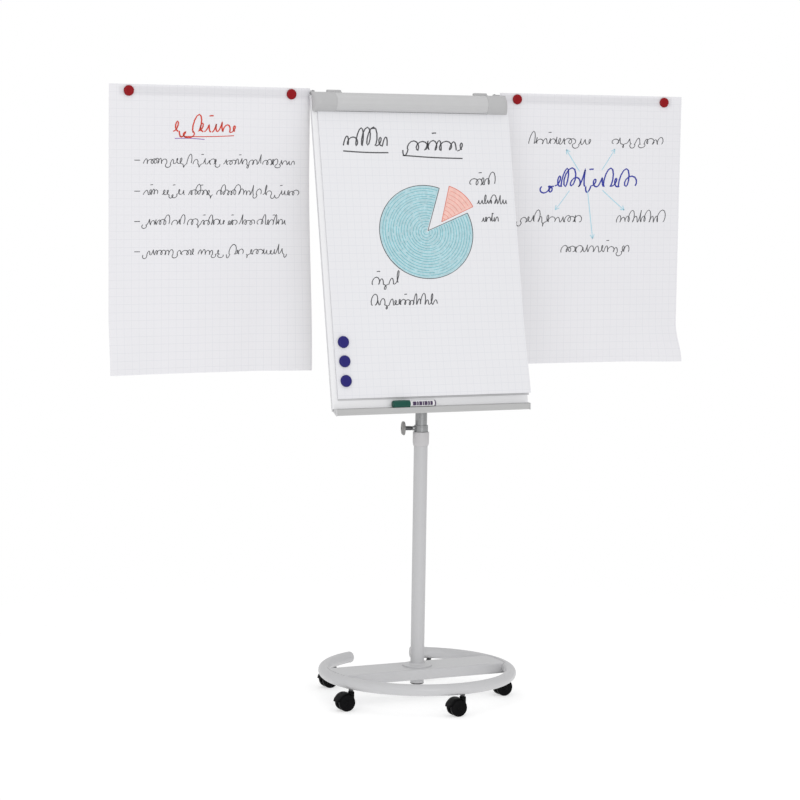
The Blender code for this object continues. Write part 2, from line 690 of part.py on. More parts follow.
def bar_cap(name, side, bar, shift):
    """A moulded end of the clamp bar, rounded in plan, with an ear for the hinge pin."""
    section = bar_arc(0.0008, 98.0, 262.0, 18)
    middle = side * (BAR_HALF_LENGTH - BAR_CAP_LENGTH / 2)
    cap = outline(name, [section], BAR_CAP_LENGTH, rotation=ALONG_X, look=GREY_PLASTIC,
                  parent=bar, location=(middle, shift[1], shift[2]))
    cut(cap, outline(name + "_round", [bar_end_outline(side)], 0.090, parent=bar,
                     location=(0.0, shift[1], BAR_CENTRE_Z + shift[2])))
    outside = side * (BAR_HALF_LENGTH - 0.0005)
    inside = outside - side * EAR_THICKNESS
    join(cap, rod(name + "_ear", EAR_R, (inside, 0.0, 0.0), (outside, 0.0, 0.0), parent=bar))
    low_x, high_x = sorted((inside, outside))
    join(cap, box(name + "_web", (low_x, -0.014, -0.0030), (high_x, 0.0, 0.0018), parent=bar))
    cut(cap, rod(name + "_pin_hole", BAR_PIN_R + GAP, (side * 0.30, 0.0, 0.0),
                 (side * 0.40, 0.0, 0.0), sides=16, parent=bar))


def pad_hook(name, side, head):
    """A slider that saddles the board's top edge, with a hook that stands over the pad."""
    middle = side * HOOK_X
    back = BOARD_THICKNESS + 0.0045
    body = box(name, (-HOOK_HALF_WIDTH, 0.0030, BOARD_TOP + GAP), (HOOK_HALF_WIDTH, back, 0.0090),
               look=GREY_PLASTIC, parent=empty(name + "_frame", (middle, 0.0, 0.0), parent=head))
    bevel(body, 0.003, 2)
    frame = body.parent
    crown = box(name + "_crown", (-HOOK_HALF_WIDTH + 0.001, 0.0075, 0.0060),
                (HOOK_HALF_WIDTH - 0.001, back - 0.0003, 0.0155), parent=frame)
    join(body, bevel(crown, 0.003, 2))
    join(body, box(name + "_leg", (-0.020, BOARD_THICKNESS + GAP, -0.028), (0.020, back, 0.000),
                   parent=frame))
    join(body, box(name + "_tongue", (-0.008, -0.0085, BOARD_TOP + GAP), (0.008, 0.008, -0.0010),
                   parent=frame))
    join(body, box(name + "_tip", (-0.008, -0.0085, -0.0090), (0.008, -0.0060, -0.0020),
                   parent=frame))


def corner_bracket(name, side, head):
    """A fitting on the board's top corner: it holds the clamp bar's pin and the arm's pivot."""
    inner, outer = (side * 0.3080, side * (BAR_HALF_LENGTH - EAR_THICKNESS - 0.001))
    low_x, high_x = sorted((inner, outer))
    back = BOARD_THICKNESS + GAP
    bracket = box(name, (low_x, back, -0.040), (high_x, back + 0.0045, 0.0050),
                  look=GREY_PLASTIC, parent=head)
    low_x, high_x = sorted((side * 0.3215, outer))
    join(bracket, box(name + "_top", (low_x, 0.0040, BOARD_TOP + GAP),
                      (high_x, back + 0.002, 0.0062), parent=head))
    join(bracket, rod(name + "_pin", BAR_PIN_R, (side * 0.3245, *BAR_HINGE),
                      (side * (BAR_HALF_LENGTH - 0.0005), *BAR_HINGE), sides=16, parent=head))
    pivot_x = side * ARM_PIVOT_X
    middle = (ARM_BOTTOM + ARM_TOP) / 2
    join(bracket, rod(name + "_knuckle", KNUCKLE_R, (pivot_x, ARM_PIVOT_Y, ARM_BOTTOM - 0.004),
                      (pivot_x, ARM_PIVOT_Y, middle - GAP)))
    join(bracket, box(name + "_lug", (pivot_x - 0.005, 0.1356, ARM_BOTTOM - 0.004),
                      (pivot_x + 0.005, ARM_PIVOT_Y, middle - GAP)))
    join(bracket, rod(name + "_pivot", PIVOT_PIN_R, (pivot_x, ARM_PIVOT_Y, middle - 0.004),
                      (pivot_x, ARM_PIVOT_Y, ARM_TOP), sides=16))


def side_arm(tag, side):
    """A flat steel strip that swings on the corner's pivot, with its sheet and two magnets."""
    axis = empty(f"arm_axis_{tag}", (side * ARM_PIVOT_X, ARM_PIVOT_Y, 0.0),
                 (0.0, 0.0, -side * math.radians(ARM_REST_SWING)))
    front = ARM_FRONT - ARM_PIVOT_Y
    start = side * (KNUCKLE_R + 0.0015)
    end = side * (ARM_END - ARM_PIVOT_X)
    low_x, high_x = sorted((start, end))
    strip = box(f"side_arm_{tag}", (low_x, front, ARM_BOTTOM), (high_x, front + ARM_SHEET, ARM_TOP),
                look=GREY_PAINT, parent=axis)
    middle = (ARM_BOTTOM + ARM_TOP) / 2
    join(strip, rod(f"arm_eye_{tag}", KNUCKLE_R, (0.0, 0.0, middle + GAP), (0.0, 0.0, ARM_TOP),
                    parent=axis))
    low_x, high_x = sorted((0.0, side * 0.012))
    join(strip, box(f"arm_root_{tag}", (low_x, front, middle + GAP),
                    (high_x, front + ARM_SHEET, ARM_TOP), parent=axis))
    cut(strip, rod(f"arm_bore_{tag}", PIVOT_PIN_R + GAP, (0.0, 0.0, ARM_BOTTOM - 0.01),
                   (0.0, 0.0, ARM_TOP + 0.01), sides=16, parent=axis))
    sheet_back = front - GAP
    reach = SIDE_SHEET_INNER[tag] - ARM_PIVOT_X
    low_x, high_x = sorted((side * reach, side * (reach + SIDE_SHEET_WIDTH)))
    box(f"side_sheet_{tag}", (low_x, sheet_back - SHEET_THICKNESS, SIDE_SHEET_BOTTOM),
        (high_x, sheet_back, SIDE_SHEET_TOP), look=PAPER, parent=axis)
    face = sheet_back - SHEET_THICKNESS - GAP
    for index, reach in enumerate(RED_MAGNET_X, 1):
        turned(f"arm_magnet_{tag}{index}", magnet_profile(RED_MAGNET_R), look=RED_PLASTIC,
               location=(side * (reach - ARM_PIVOT_X), face, RED_MAGNET_Z),
               rotation=(math.pi / 2, 0.0, 0.0), parent=axis)


def build():
    base_ring()
    ring_plug("ring_plug_l", -1)
    ring_plug("ring_plug_r", 1)
    crossbar()
    mast_foot()
    mast()
    clamp_ring()
    clamp_knob()
    for index, angle in enumerate(CASTOR_ANGLES, 1):
        castor_stem(index, angle)
        castor(index, angle)
    inner_mast()
    head = empty("head_frame", HEAD_ORIGIN, (-BOARD_TILT, 0.0, 0.0))
    board(head)
    board_magnets(head, pad(head))
    pen_tray()
    marker()
    bar = empty("bar_hinge", (0.0, *BAR_HINGE), parent=head)
    clamp_bar(bar)
    for tag, side in (("l", -1), ("r", 1)):
        pad_hook(f"pad_hook_{tag}", side, head)
        corner_bracket(f"corner_bracket_{tag}", side, head)
        side_arm(tag, side)


build()
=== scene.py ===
import json
import random
from contextlib import contextmanager
from math import cos, exp, pi, radians, sin, sqrt

import bmesh
import bpy
from mathutils import Matrix, Vector

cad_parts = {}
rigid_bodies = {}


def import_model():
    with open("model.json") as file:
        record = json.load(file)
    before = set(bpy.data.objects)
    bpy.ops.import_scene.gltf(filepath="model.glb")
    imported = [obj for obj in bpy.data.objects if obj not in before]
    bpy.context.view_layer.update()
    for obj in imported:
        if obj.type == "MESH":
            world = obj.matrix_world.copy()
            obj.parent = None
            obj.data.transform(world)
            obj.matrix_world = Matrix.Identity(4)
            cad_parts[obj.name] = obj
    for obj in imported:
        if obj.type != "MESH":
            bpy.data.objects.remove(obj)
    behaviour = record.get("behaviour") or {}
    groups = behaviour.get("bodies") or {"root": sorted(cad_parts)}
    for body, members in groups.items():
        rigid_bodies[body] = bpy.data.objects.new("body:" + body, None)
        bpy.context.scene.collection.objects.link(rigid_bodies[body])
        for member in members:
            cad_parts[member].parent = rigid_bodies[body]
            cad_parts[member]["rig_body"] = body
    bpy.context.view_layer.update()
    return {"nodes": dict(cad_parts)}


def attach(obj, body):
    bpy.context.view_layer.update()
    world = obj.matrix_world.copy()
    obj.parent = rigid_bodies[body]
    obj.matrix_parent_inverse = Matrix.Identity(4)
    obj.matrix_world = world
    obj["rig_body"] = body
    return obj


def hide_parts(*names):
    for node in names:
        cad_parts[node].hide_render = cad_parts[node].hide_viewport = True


# Looks of the mobile flipchart easel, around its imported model: metres, +Z up, +X along the board
# to the viewer's right, +Y to the back, origin on the floor on the mast's axis.
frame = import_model()

# Base ring, crossbar and castors
RING_R = 0.302
RING_TUBE_R = 0.0185
RING_Z = 0.085
RING_HALF_SWEEP = 158.0
CROSSBAR_HALF_DEPTH = 0.065
CROSSBAR_BOTTOM = 0.068
CROSSBAR_TOP = 0.1025
CASTOR_ANGLES = (2.4, 74.4, 146.4, -141.6, -69.6)
CASTOR_TRAIL_DIRECTION = 182.0
CASTOR_TRAIL = 0.0205
WHEEL_R = 0.0275
HOOD_R = 0.0315
HOOD_TOP = 0.061
HOOD_HALF_WIDTH = 0.0204

# Mast
MAST_R = 0.0222
MAST_BORE = 0.0206
MAST_BOTTOM = 0.047
MAST_TOP = 0.8648
COLLAR_BOTTOM = 0.819
CLAMP_RING_BOTTOM = 0.8655
CLAMP_RING_TOP = 0.886
KNOB_Z = 0.876
KNOB_R = 0.024
KNOB_REACH = 0.058
CLAMP_TURN = radians(15.0)
INNER_R = 0.019
INNER_BOTTOM = 0.5
TUBE_TOP = -0.27

# Board and pad, in the head's frame: origin at the top of the front face, Z up the board
HEAD_ORIGIN = Vector((0.0, 0.1237, 1.938))
BOARD_TILT = radians(11.64)
BOARD_HALF_WIDTH = 0.3465
BOARD_TOP = -0.005
BOARD_BOTTOM = -1.0035
BOARD_THICKNESS = 0.012
PAD_LEFT = -0.3285
PAD_RIGHT = 0.3515
PAD_TOP = 0.012
PAD_BOTTOM = 0.972
PAD_BACK = -0.0003
SHEET_FACE = -0.0034
BAR_HALF_LENGTH = 0.346
BAR_CAP_LENGTH = 0.077
BAR_END_ROUND = 0.025
BAR_END_DEPTH = 0.0085
BAR_DEPTH = 0.03
BAR_HALF_HEIGHT = 0.031
BAR_CENTRE_Z = -0.027

# Pen tray and marker
TRAY_HALF_LENGTH = 0.3405
TRAY_FRONT = -0.1005
TRAY_FLOOR = 0.9538
TRAY_CHANNEL = 0.952
TRAY_RIM = 0.956
TRAY_LIP_BOTTOM = 0.936
TRAY_SHEET = 0.002
MARKER_R = 0.01
MARKER_CAP_R = 0.012
MARKER_PLACE = (-0.145, -0.0895, 0.9661)

# Side sheets and magnets
SHEET_WIDTH = 0.68
SHEET_INNER = {"l": 0.338, "r": 0.342}
SHEET_TOP = 1.954
SHEET_DROP = 0.893
SHEET_Y = 0.1494
ARM_PIVOT = (0.325, 0.1565)
ARM_SWING = radians(2.2)
RIVET_Z = 1.9477
RED_MAGNET_R = 0.0165
RED_MAGNET_X = (0.404, 0.954)
RED_MAGNET_Z = 1.934
BLUE_MAGNET_R = 0.019
BLUE_MAGNET_X = -0.297
BLUE_MAGNET_DROPS = (0.793, 0.854, 0.916)
MAGNET_THICKNESS = 0.008

# The picture: where the camera stands, its heading, pitch and roll in degrees, and the lights
# as (name, place, what it aims at, size, power)
CAMERA_PLACE = (-3.671, -7.467, 1.808)
CAMERA_ANGLES = (25.705, 5.781, 0.891)
LENS = 117.3
SKY = 0.8
LIGHTS = (("key", (-4.6, -3.4, 3.3), (0.0, 0.0, 1.4), 2.8, 24.0),
          ("top", (-0.6, -0.8, 5.2), (0.0, 0.0, 0.0), 3.6, 18.0),
          ("front", (-1.2, -7.6, 2.0), (0.0, 0.0, 1.2), 3.0, 92.0))
WHITE = (1.0, 1.0, 1.0, 1.0)

# The square grid printed on the paper
GRID_PITCH = 0.025
GRID_LINE = 0.0008

HEAD = Matrix.Translation(HEAD_ORIGIN) @ Matrix.Rotation(-BOARD_TILT, 4, "X")
BEHIND = HEAD.to_3x3() @ Vector((0.0, 1.0, 0.0))
FACING_OUT = Matrix.Rotation(pi / 2, 4, "X")
FACING_RIGHT = Matrix.Rotation(pi / 2, 4, "Y")
SIDES = (("l", -1), ("r", 1))


# ---------------- objects, meshes and shader nodes

def linked(name, data):
    made = bpy.data.objects.new(name, data)
    bpy.context.scene.collection.objects.link(made)
    return made


@contextmanager
def editing(mesh):
    """Opens a mesh as a bmesh and writes it back."""
    shape = bmesh.new()
    shape.from_mesh(mesh)
    yield shape
    shape.to_mesh(mesh)
    shape.free()


def mesh_of(name, shape, look):
    """A mesh of one look from a bmesh, which it frees."""
    mesh = bpy.data.meshes.new(name)
    shape.to_mesh(mesh)
    shape.free()
    mesh.materials.append(look)
    return mesh


def feed(tree, made, inputs):
    """Links each input that is given another node's socket and sets the others' values."""
    for name, value in inputs.items():
        if isinstance(value, bpy.types.NodeSocket):
            tree.links.new(value, made.inputs[name])
        else:
            made.inputs[name].default_value = value


def wire(tree, kind, inputs, **settings):
    """Adds a shader node of one kind, with its settings and what feeds it."""
    made = tree.nodes.new("ShaderNode" + kind)
    for name, value in settings.items():
        setattr(made, name, value)
    feed(tree, made, inputs)
    return made


def new_material(name):
    made = bpy.data.materials.new(name)
    made.use_nodes = True
    return made, made.node_tree


# ---------------- camera, floor and light

def camera():
    """A long lens from the front left, a little below the board's top."""
    heading, pitch, roll = (radians(angle) for angle in CAMERA_ANGLES)
    lens = bpy.data.cameras.new("camera")
    lens.sensor_width = 36.0
    lens.lens = LENS
    lens.clip_end = 200.0
    seen = linked("camera", lens)
    seen.matrix_world = (Matrix.Translation(CAMERA_PLACE) @ Matrix.Rotation(-heading, 4, "Z")
                         @ Matrix.Rotation(pi / 2 - pitch, 4, "X") @ Matrix.Rotation(roll, 4, "Z"))
    bpy.context.scene.camera = seen


def area_light(name, place, target, size, power):
    light = bpy.data.lights.new(name, "AREA")
    light.shape = "SQUARE"
    light.size = size
    light.energy = power
    lamp = linked(name, light)
    aim = (Vector(target) - Vector(place)).to_track_quat("-Z", "Y")
    lamp.matrix_world = Matrix.Translation(place) @ aim.to_matrix().to_4x4()
    lamp.visible_camera = False


def studio():
    """A pale floor that fades into a white dome, with soft light mostly from the front."""
    world = bpy.data.worlds.new("studio")
    world.use_nodes = True
    feed(world.node_tree, world.node_tree.nodes["Background"], {"Color": WHITE, "Strength": SKY})
    bpy.context.scene.world = world
    bpy.context.scene.view_settings.view_transform = "Standard"
    for light in LIGHTS:
        area_light(*light)

    glow, tree = new_material("dome")
    tree.nodes.clear()
    emission = wire(tree, "Emission", {"Strength": 1.0})
    wire(tree, "OutputMaterial", {"Surface": emission.outputs["Emission"]})
    shape = bmesh.new()
    bmesh.ops.create_uvsphere(shape, u_segments=48, v_segments=24, radius=60.0)
    dome = linked("dome", mesh_of("dome", shape, glow))
    for kind in ("diffuse", "glossy", "transmission", "volume_scatter", "shadow"):
        setattr(dome, "visible_" + kind, False)

    pale, tree = new_material("floor")
    where = wire(tree, "TexCoord", {}).outputs["Object"]
    far = wire(tree, "VectorMath", {0: where}, operation="LENGTH").outputs["Value"]
    fade = wire(tree, "MapRange", {"Value": far, "From Min": 0.7, "From Max": 2.4,
                                   "To Min": 1.0, "To Max": 0.0}, interpolation_type="SMOOTHSTEP")
    feed(tree, tree.nodes["Principled BSDF"],
         {"Base Color": (0.62, 0.62, 0.62, 1.0), "Emission Color": WHITE,
          "Emission Strength": 0.5, "Roughness": 0.8, "Specular IOR Level": 0.2,
          "Alpha": fade.outputs["Result"]})
    shape = bmesh.new()
    bmesh.ops.create_circle(shape, cap_ends=True, segments=96, radius=7.0)
    linked("floor", mesh_of("floor", shape, pale))


# ---------------- materials

def surface(name, colour, roughness, metallic=0.0, coat=0.0, specular=0.5, tone=0.04,
            tone_scale=30.0, grain=900.0, depth=0.00001, stretch=(1.0, 1.0, 1.0), spread=0.05):
    """A finish whose tone drifts slowly and whose fine grain drives its roughness and bump."""
    made, tree = new_material(name)
    where = wire(tree, "TexCoord", {}).outputs["Object"]
    broad = wire(tree, "TexNoise", {"Vector": where, "Scale": tone_scale, "Detail": 4.0})
    dark, light = ((*(channel * (1 + shift) for channel in colour), 1.0) for shift in (-tone, tone))
    blend = wire(tree, "Mix", {"Factor": broad.outputs["Fac"], "A": dark, "B": light},
                 data_type="RGBA")
    stretched = wire(tree, "Mapping", {"Vector": where, "Scale": stretch})
    fine = wire(tree, "TexNoise", {"Vector": stretched.outputs["Vector"], "Scale": grain,
                                   "Detail": 3.0}).outputs["Fac"]
    gloss = wire(tree, "MapRange", {"Value": fine, "From Min": 0.3, "From Max": 0.7,
                                    "To Min": roughness - spread, "To Max": roughness + spread})
    bump = wire(tree, "Bump", {"Height": fine, "Distance": depth})
    feed(tree, tree.nodes["Principled BSDF"],
         {"Metallic": metallic, "Coat Weight": coat, "Specular IOR Level": specular,
          "Base Color": blend.outputs["Result"], "Roughness": gloss.outputs["Result"],
          "Normal": bump.outputs["Normal"]})
    return made


def ruled_paper(name, colour, line_colour, see_through=0.0):
    """White paper with a printed square grid; its UV map is in metres.

    A sheet that hangs free lets a little of the light behind it through.
    """
    made = surface(name, colour, 0.72, tone=0.012, tone_scale=9.0, grain=700.0,
                   depth=0.00003, specular=0.25)
    tree = made.node_tree
    shader = tree.nodes["Principled BSDF"]
    split = wire(tree, "SeparateXYZ", {"Vector": wire(tree, "TexCoord", {}).outputs["UV"]})
    lines = []
    for axis in ("X", "Y"):
        wave = wire(tree, "Math", {0: split.outputs[axis], 1: GRID_PITCH / 2}, operation="PINGPONG")
        edge = wire(tree, "MapRange", {"Value": wave.outputs["Value"], "To Min": 1.0, "To Max": 0.0,
                                       "From Min": GRID_LINE * 0.35, "From Max": GRID_LINE * 0.65})
        lines.append(edge.outputs["Result"])
    either = wire(tree, "Math", dict(enumerate(lines)), operation="MAXIMUM")
    printed = wire(tree, "Mix", {"A": shader.inputs["Base Color"].links[0].from_socket,
                                 "B": (*line_colour, 1.0), "Factor": either.outputs["Value"]},
                   data_type="RGBA")
    feed(tree, shader, {"Base Color": printed.outputs["Result"], "Subsurface Scale": 1.0,
                        "Subsurface Weight": see_through, "Subsurface Radius": (0.02, 0.02, 0.02)})
    return made


ALONG_X = (0.02, 1.0, 1.0)
PAINT = surface("grey_powder_coat", (0.52, 0.52, 0.53), 0.34, coat=0.05,
                tone=0.02, grain=650.0, depth=0.00003)
ALUMINIUM = surface("satin_aluminium", (0.57, 0.57, 0.575), 0.42, metallic=0.28,
                    tone=0.03, grain=1500.0, spread=0.07, stretch=ALONG_X)
TRAY_METAL = surface("pale_aluminium", (0.48, 0.48, 0.48), 0.42, metallic=0.15,
                     tone=0.02, grain=1500.0, spread=0.06, stretch=ALONG_X)
ZINC = surface("drawn_steel", (0.33, 0.335, 0.34), 0.3, metallic=0.55, tone=0.06,
               grain=1400.0, stretch=(1.0, 1.0, 0.02), spread=0.08)
STEEL = surface("dark_steel", (0.1, 0.1, 0.105), 0.38, metallic=0.8, tone=0.12,
                grain=2000.0)
GREY_PLASTIC = surface("grey_moulding", (0.47, 0.47, 0.475), 0.48,
                       grain=2600.0, tone=0.02, depth=0.00002)
TRAY_PLASTIC = surface("tray_moulding", (0.58, 0.58, 0.585), 0.45,
                       grain=2600.0, tone=0.02, depth=0.00002)
COLLAR_PLASTIC = surface("pale_moulding", (0.53, 0.52, 0.53), 0.45,
                         grain=2600.0, tone=0.02, depth=0.00002)
KNOB_PLASTIC = surface("beige_moulding", (0.265, 0.26, 0.255), 0.5,
                       grain=2400.0, depth=0.00003)
BLACK_PLASTIC = surface("black_nylon", (0.004, 0.004, 0.0044), 0.36,
                        grain=1800.0, depth=0.00002, specular=0.05, tone=0.3,
                        tone_scale=60.0, spread=0.1)
LACQUER = surface("white_lacquer", (0.82, 0.82, 0.835), 0.32, coat=0.05,
                  specular=0.3, tone=0.006, tone_scale=6.0, grain=220.0, spread=0.04)
LINER = surface("board_liner", (0.52, 0.51, 0.49), 0.8, tone=0.07,
                tone_scale=140.0, depth=0.00005, specular=0.2)
RUBBER = surface("soft_rubber", (0.028, 0.028, 0.028), 0.72, grain=1500.0, depth=0.00004)
RED = surface("red_moulding", (0.27, 0.005, 0.009), 0.34, specular=0.15,
              grain=1700.0, tone=0.05)
BLUE = surface("blue_moulding", (0.022, 0.019, 0.16), 0.36, specular=0.15,
               grain=1700.0, tone=0.06)
WHITE_PLASTIC = surface("white_moulding", (0.78, 0.78, 0.79), 0.3,
                        grain=2000.0, tone=0.01)
TEAL_PLASTIC = surface("teal_moulding", (0.003, 0.07, 0.05), 0.3,
                       specular=0.3, grain=1900.0, tone=0.08)
PRINT = surface("dark_print", (0.045, 0.02, 0.07), 0.5, grain=1500.0)
PAPER = ruled_paper("ruled_paper", (0.785, 0.785, 0.81), (0.685, 0.695, 0.735))
HUNG_PAPER = ruled_paper("hung_paper", (0.795, 0.79, 0.82), (0.69, 0.695, 0.735), see_through=0.1)
# Grey card backing of the pad. Its grey strip below the leaves is also a painted shadow band under
# the pad's lower edge.
CARD_WITH_PAINTED_SHADOW = surface("grey_card_painted_shadow", (0.6, 0.6, 0.61), 0.8, tone=0.05, tone_scale=90.0,
               grain=500.0, depth=0.00004, specular=0.2)
PAGE_EDGES = surface("page_edges", (0.88, 0.88, 0.9), 0.85, tone=0.06,
                     tone_scale=60.0, grain=2500.0, depth=0.0001, stretch=(0.05, 1.0, 0.05),
                     specular=0.2)


def ink(name, colour, tone=0.35):
    return surface(name, colour, 0.55, tone=tone, tone_scale=120.0, grain=1200.0,
                   specular=0.3)


BLACK_INK = ink("black_ink", (0.085, 0.085, 0.092))
RED_INK = ink("red_ink", (0.62, 0.06, 0.035), 0.2)
VIOLET_INK = ink("violet_ink", (0.28, 0.12, 0.42), 0.2)
BLUE_INK = ink("blue_ink", (0.035, 0.045, 0.34), 0.3)
PALE_BLUE_INK = ink("pale_blue_ink", (0.42, 0.66, 0.76), 0.1)
TEAL_INK = ink("teal_ink", (0.16, 0.47, 0.53), 0.35)
TEAL_WASH = ink("teal_wash", (0.44, 0.64, 0.69), 0.25)
CORAL_WASH = ink("coral_wash", (0.86, 0.53, 0.47), 0.16)
CORAL_INK = ink("coral_ink", (0.7, 0.2, 0.15), 0.25)


# ---------------- building pieces

def add(name, solid, look, body, place=Matrix.Identity(4), replaces=(), sharp=35.0):
    """Makes one piece from (points, faces), puts it in place and joins it to its body."""
    points, faces = solid
    mesh = bpy.data.meshes.new(name)
    mesh.from_pydata([tuple(point) for point in points], [], faces)
    mesh.validate()
    with editing(mesh) as shape:
        bmesh.ops.recalc_face_normals(shape, faces=shape.faces)
    mesh.materials.append(look)
    mesh.shade_smooth()
    mesh.set_sharp_from_angle(angle=radians(sharp))
    piece = linked(name, mesh)
    piece.matrix_world = place
    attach(piece, body)
    if replaces:
        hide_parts(*replaces)
    return piece


def finish(node, shape, look, place=Matrix.Identity(4), sharp=35.0):
    """The visual piece of one CAD node, named after it, on that node's body."""
    body = frame["nodes"][node]["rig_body"]
    return add(node + "_finish", shape, look, body, place, (node,), sharp)


def soften(piece, width, segments, angle=35.0):
    rounding = piece.modifiers.new("Soften", "BEVEL")
    rounding.width = width
    rounding.segments = segments
    rounding.limit_method = "ANGLE"
    rounding.angle_limit = radians(angle)
    rounding.harden_normals = True


def refined(node, look, width, segments=3):
    """A copy of a CAD node with its flat faces whole again and its edges softened."""
    shape = bmesh.new()
    shape.from_mesh(frame["nodes"][node].data)
    bmesh.ops.remove_doubles(shape, verts=shape.verts, dist=0.00001)
    bmesh.ops.dissolve_limit(shape, angle_limit=radians(0.5), verts=shape.verts, edges=shape.edges)
    points = [vert.co.copy() for vert in shape.verts]
    faces = [[vert.index for vert in face.verts] for face in shape.faces]
    shape.free()
    soften(finish(node, (points, faces), look), width, segments)


def merged(*shapes):
    """Several shapes as one."""
    points, faces = [], []
    for more_points, more_faces in shapes:
        start = len(points)
        points += [Vector(point) for point in more_points]
        faces += [[index + start for index in face] for face in more_faces]
    return points, faces


def moved(shape, place):
    points, faces = shape
    return [place @ Vector(point) for point in points], faces


def turned(profile, steps=72, radius_at=None):
    """Turns (radius, height) points about Z; radius_at can vary the radius with the angle."""
    points, faces, rings = [], [], []
    for radius, height in profile:
        if radius < 1e-7:
            rings.append([len(points)])
            points.append(Vector((0.0, 0.0, height)))
            continue
        rings.append(list(range(len(points), len(points) + steps)))
        for step in range(steps):
            angle = 2 * pi * step / steps
            reach = radius_at(radius, height, angle) if radius_at else radius
            points.append(Vector((reach * cos(angle), reach * sin(angle), height)))
    for upper, lower in zip(rings, rings[1:]):
        for step in range(steps):
            after = (step + 1) % steps
            face = [upper[step % len(upper)], lower[step % len(lower)],
                    lower[after % len(lower)], upper[after % len(upper)]]
            whole = list(dict.fromkeys(face))
            if len(whole) > 2:
                faces.append(whole)
    return points, faces


def closed_turn(profile, steps=72, radius_at=None):
    """A turned ring: the profile closes on itself."""
    points, faces = turned(profile, steps, radius_at)
    last = (len(profile) - 1) * steps
    for step in range(steps):
        after = (step + 1) % steps
        faces.append([last + step, step, after, last + after])
    return points, faces


def swept(path, radius, sides):
    """A round bar along a path; radius is a number or one number for each point."""
    radii = radius if isinstance(radius, list) else [radius] * len(path)
    along = [(path[min(i + 1, len(path) - 1)] - path[max(i - 1, 0)]).normalized()
             for i in range(len(path))]
    side = along[0].orthogonal().normalized()
    points = []
    for index, (centre, direction) in enumerate(zip(path, along)):
        side = (side - direction * side.dot(direction)).normalized()
        other = direction.cross(side)
        for step in range(sides):
            angle = 2 * pi * step / sides
            points.append(centre + radii[index] * (cos(angle) * side + sin(angle) * other))
    return points, skin(len(path), sides)


def block(low, high):
    corners = [(x, y, z) for x in (low[0], high[0]) for y in (low[1], high[1])
               for z in (low[2], high[2])]
    faces = [[0, 1, 3, 2], [4, 6, 7, 5], [0, 4, 5, 1], [2, 3, 7, 6], [0, 2, 6, 4], [1, 5, 7, 3]]
    return [Vector(corner) for corner in corners], faces


def walls(count):
    """The faces between two outlines of the same number of points."""
    return [[i, (i + 1) % count, count + (i + 1) % count, count + i] for i in range(count)]


def skin(rings, count):
    """The faces over rings of points, one after the other, with a flat face at each end."""
    last = (rings - 1) * count
    faces = [[low + index for index in face] for low in range(0, last, count)
             for face in walls(count)]
    return faces + [list(range(count)), list(range(last, last + count))]


def grid_faces(rows, across, layers=(0,)):
    """The faces of grids of points, rows by across cells; layers are their first indices."""
    row = across + 1
    return [[first + i * row + j, first + i * row + j + 1, first + (i + 1) * row + j + 1,
             first + (i + 1) * row + j] for first in layers for i in range(rows)
            for j in range(across)]


def rim_faces(rows, across, size):
    """The faces that join the outer edges of two such grids, size points apart."""
    row = across + 1
    sides = [(i * row + j, (i + 1) * row + j) for i in range(rows) for j in (0, across)]
    sides += [(i * row + j, i * row + j + 1) for j in range(across) for i in (0, rows)]
    return [[a, b, b + size, a + size] for a, b in sides]


def extruded(section, low, high, at=lambda x, y, z: (x, y, z)):
    """A closed (y, z) section carried along X; at can turn it to another axis."""
    points = [Vector(at(x, y, z)) for x in (low, high) for y, z in section]
    return points, skin(2, len(section))


def raised(height, profile):
    """A (radius, height) profile drawn from zero, lifted to its place."""
    return [(radius, height + up) for radius, up in profile]


def aimed(place, direction):
    """Moves what is drawn up the Z axis to a place, turned to point along direction."""
    turn = Vector(direction).to_track_quat("Z", "Y").to_matrix().to_4x4()
    return Matrix.Translation(place) @ turn


def arc(centre, radii, start, end, count):
    angles = [radians(start + (end - start) * index / count) for index in range(count + 1)]
    return [(centre[0] + radii[0] * cos(angle), centre[1] + radii[1] * sin(angle))
            for angle in angles]


def bent_line(first, last, bow=0.0, count=12):
    """Points from first to last, with a slight bow if asked."""
    (x0, y0), (x1, y1) = first, last
    return [(x0 + (x1 - x0) * i / count, y0 + (y1 - y0) * i / count + bow * sin(pi * i / count))
            for i in range(count + 1)]


def between(value, low, high):
    """0 below low, 1 above high and a smooth rise from one to the other."""
    share = min(1.0, max(0.0, (value - low) / (high - low)))
    return share * share * (3 - 2 * share)


def head_point(across, back, up):
    return HEAD @ Vector((across, back, up))


def arm_place(side):
    """Turns what hangs on an arm, drawn square to the board, to the arm's place at rest."""
    pivot = Matrix.Translation((side * ARM_PIVOT[0], ARM_PIVOT[1], 0.0))
    return pivot @ Matrix.Rotation(-side * ARM_SWING, 4, "Z") @ pivot.inverted()


def ring_point(angle, up=0.0):
    turn = radians(angle)
    return Vector((RING_R * sin(turn), -RING_R * cos(turn), RING_Z + up))


def screw_head(centre, direction, radius=0.004):
    """A pan head with a cross recess, standing out along direction."""
    dome = [(0.0, 0.35), (0.22, 0.35), (0.3, 0.62), (0.55, 0.56), (0.85, 0.36), (1.0, 0.08),
            (1.0, -0.1), (0.0, -0.1)]
    shape = turned([(radius * reach, radius * height) for reach, height in dome], 32,
                   lambda reach, height, angle: reach * (1 + 0.28 * cos(4 * angle))
                   if reach < 0.35 * radius and height > 0.3 * radius else reach)
    return moved(shape, aimed(centre, direction))


# ---------------- base

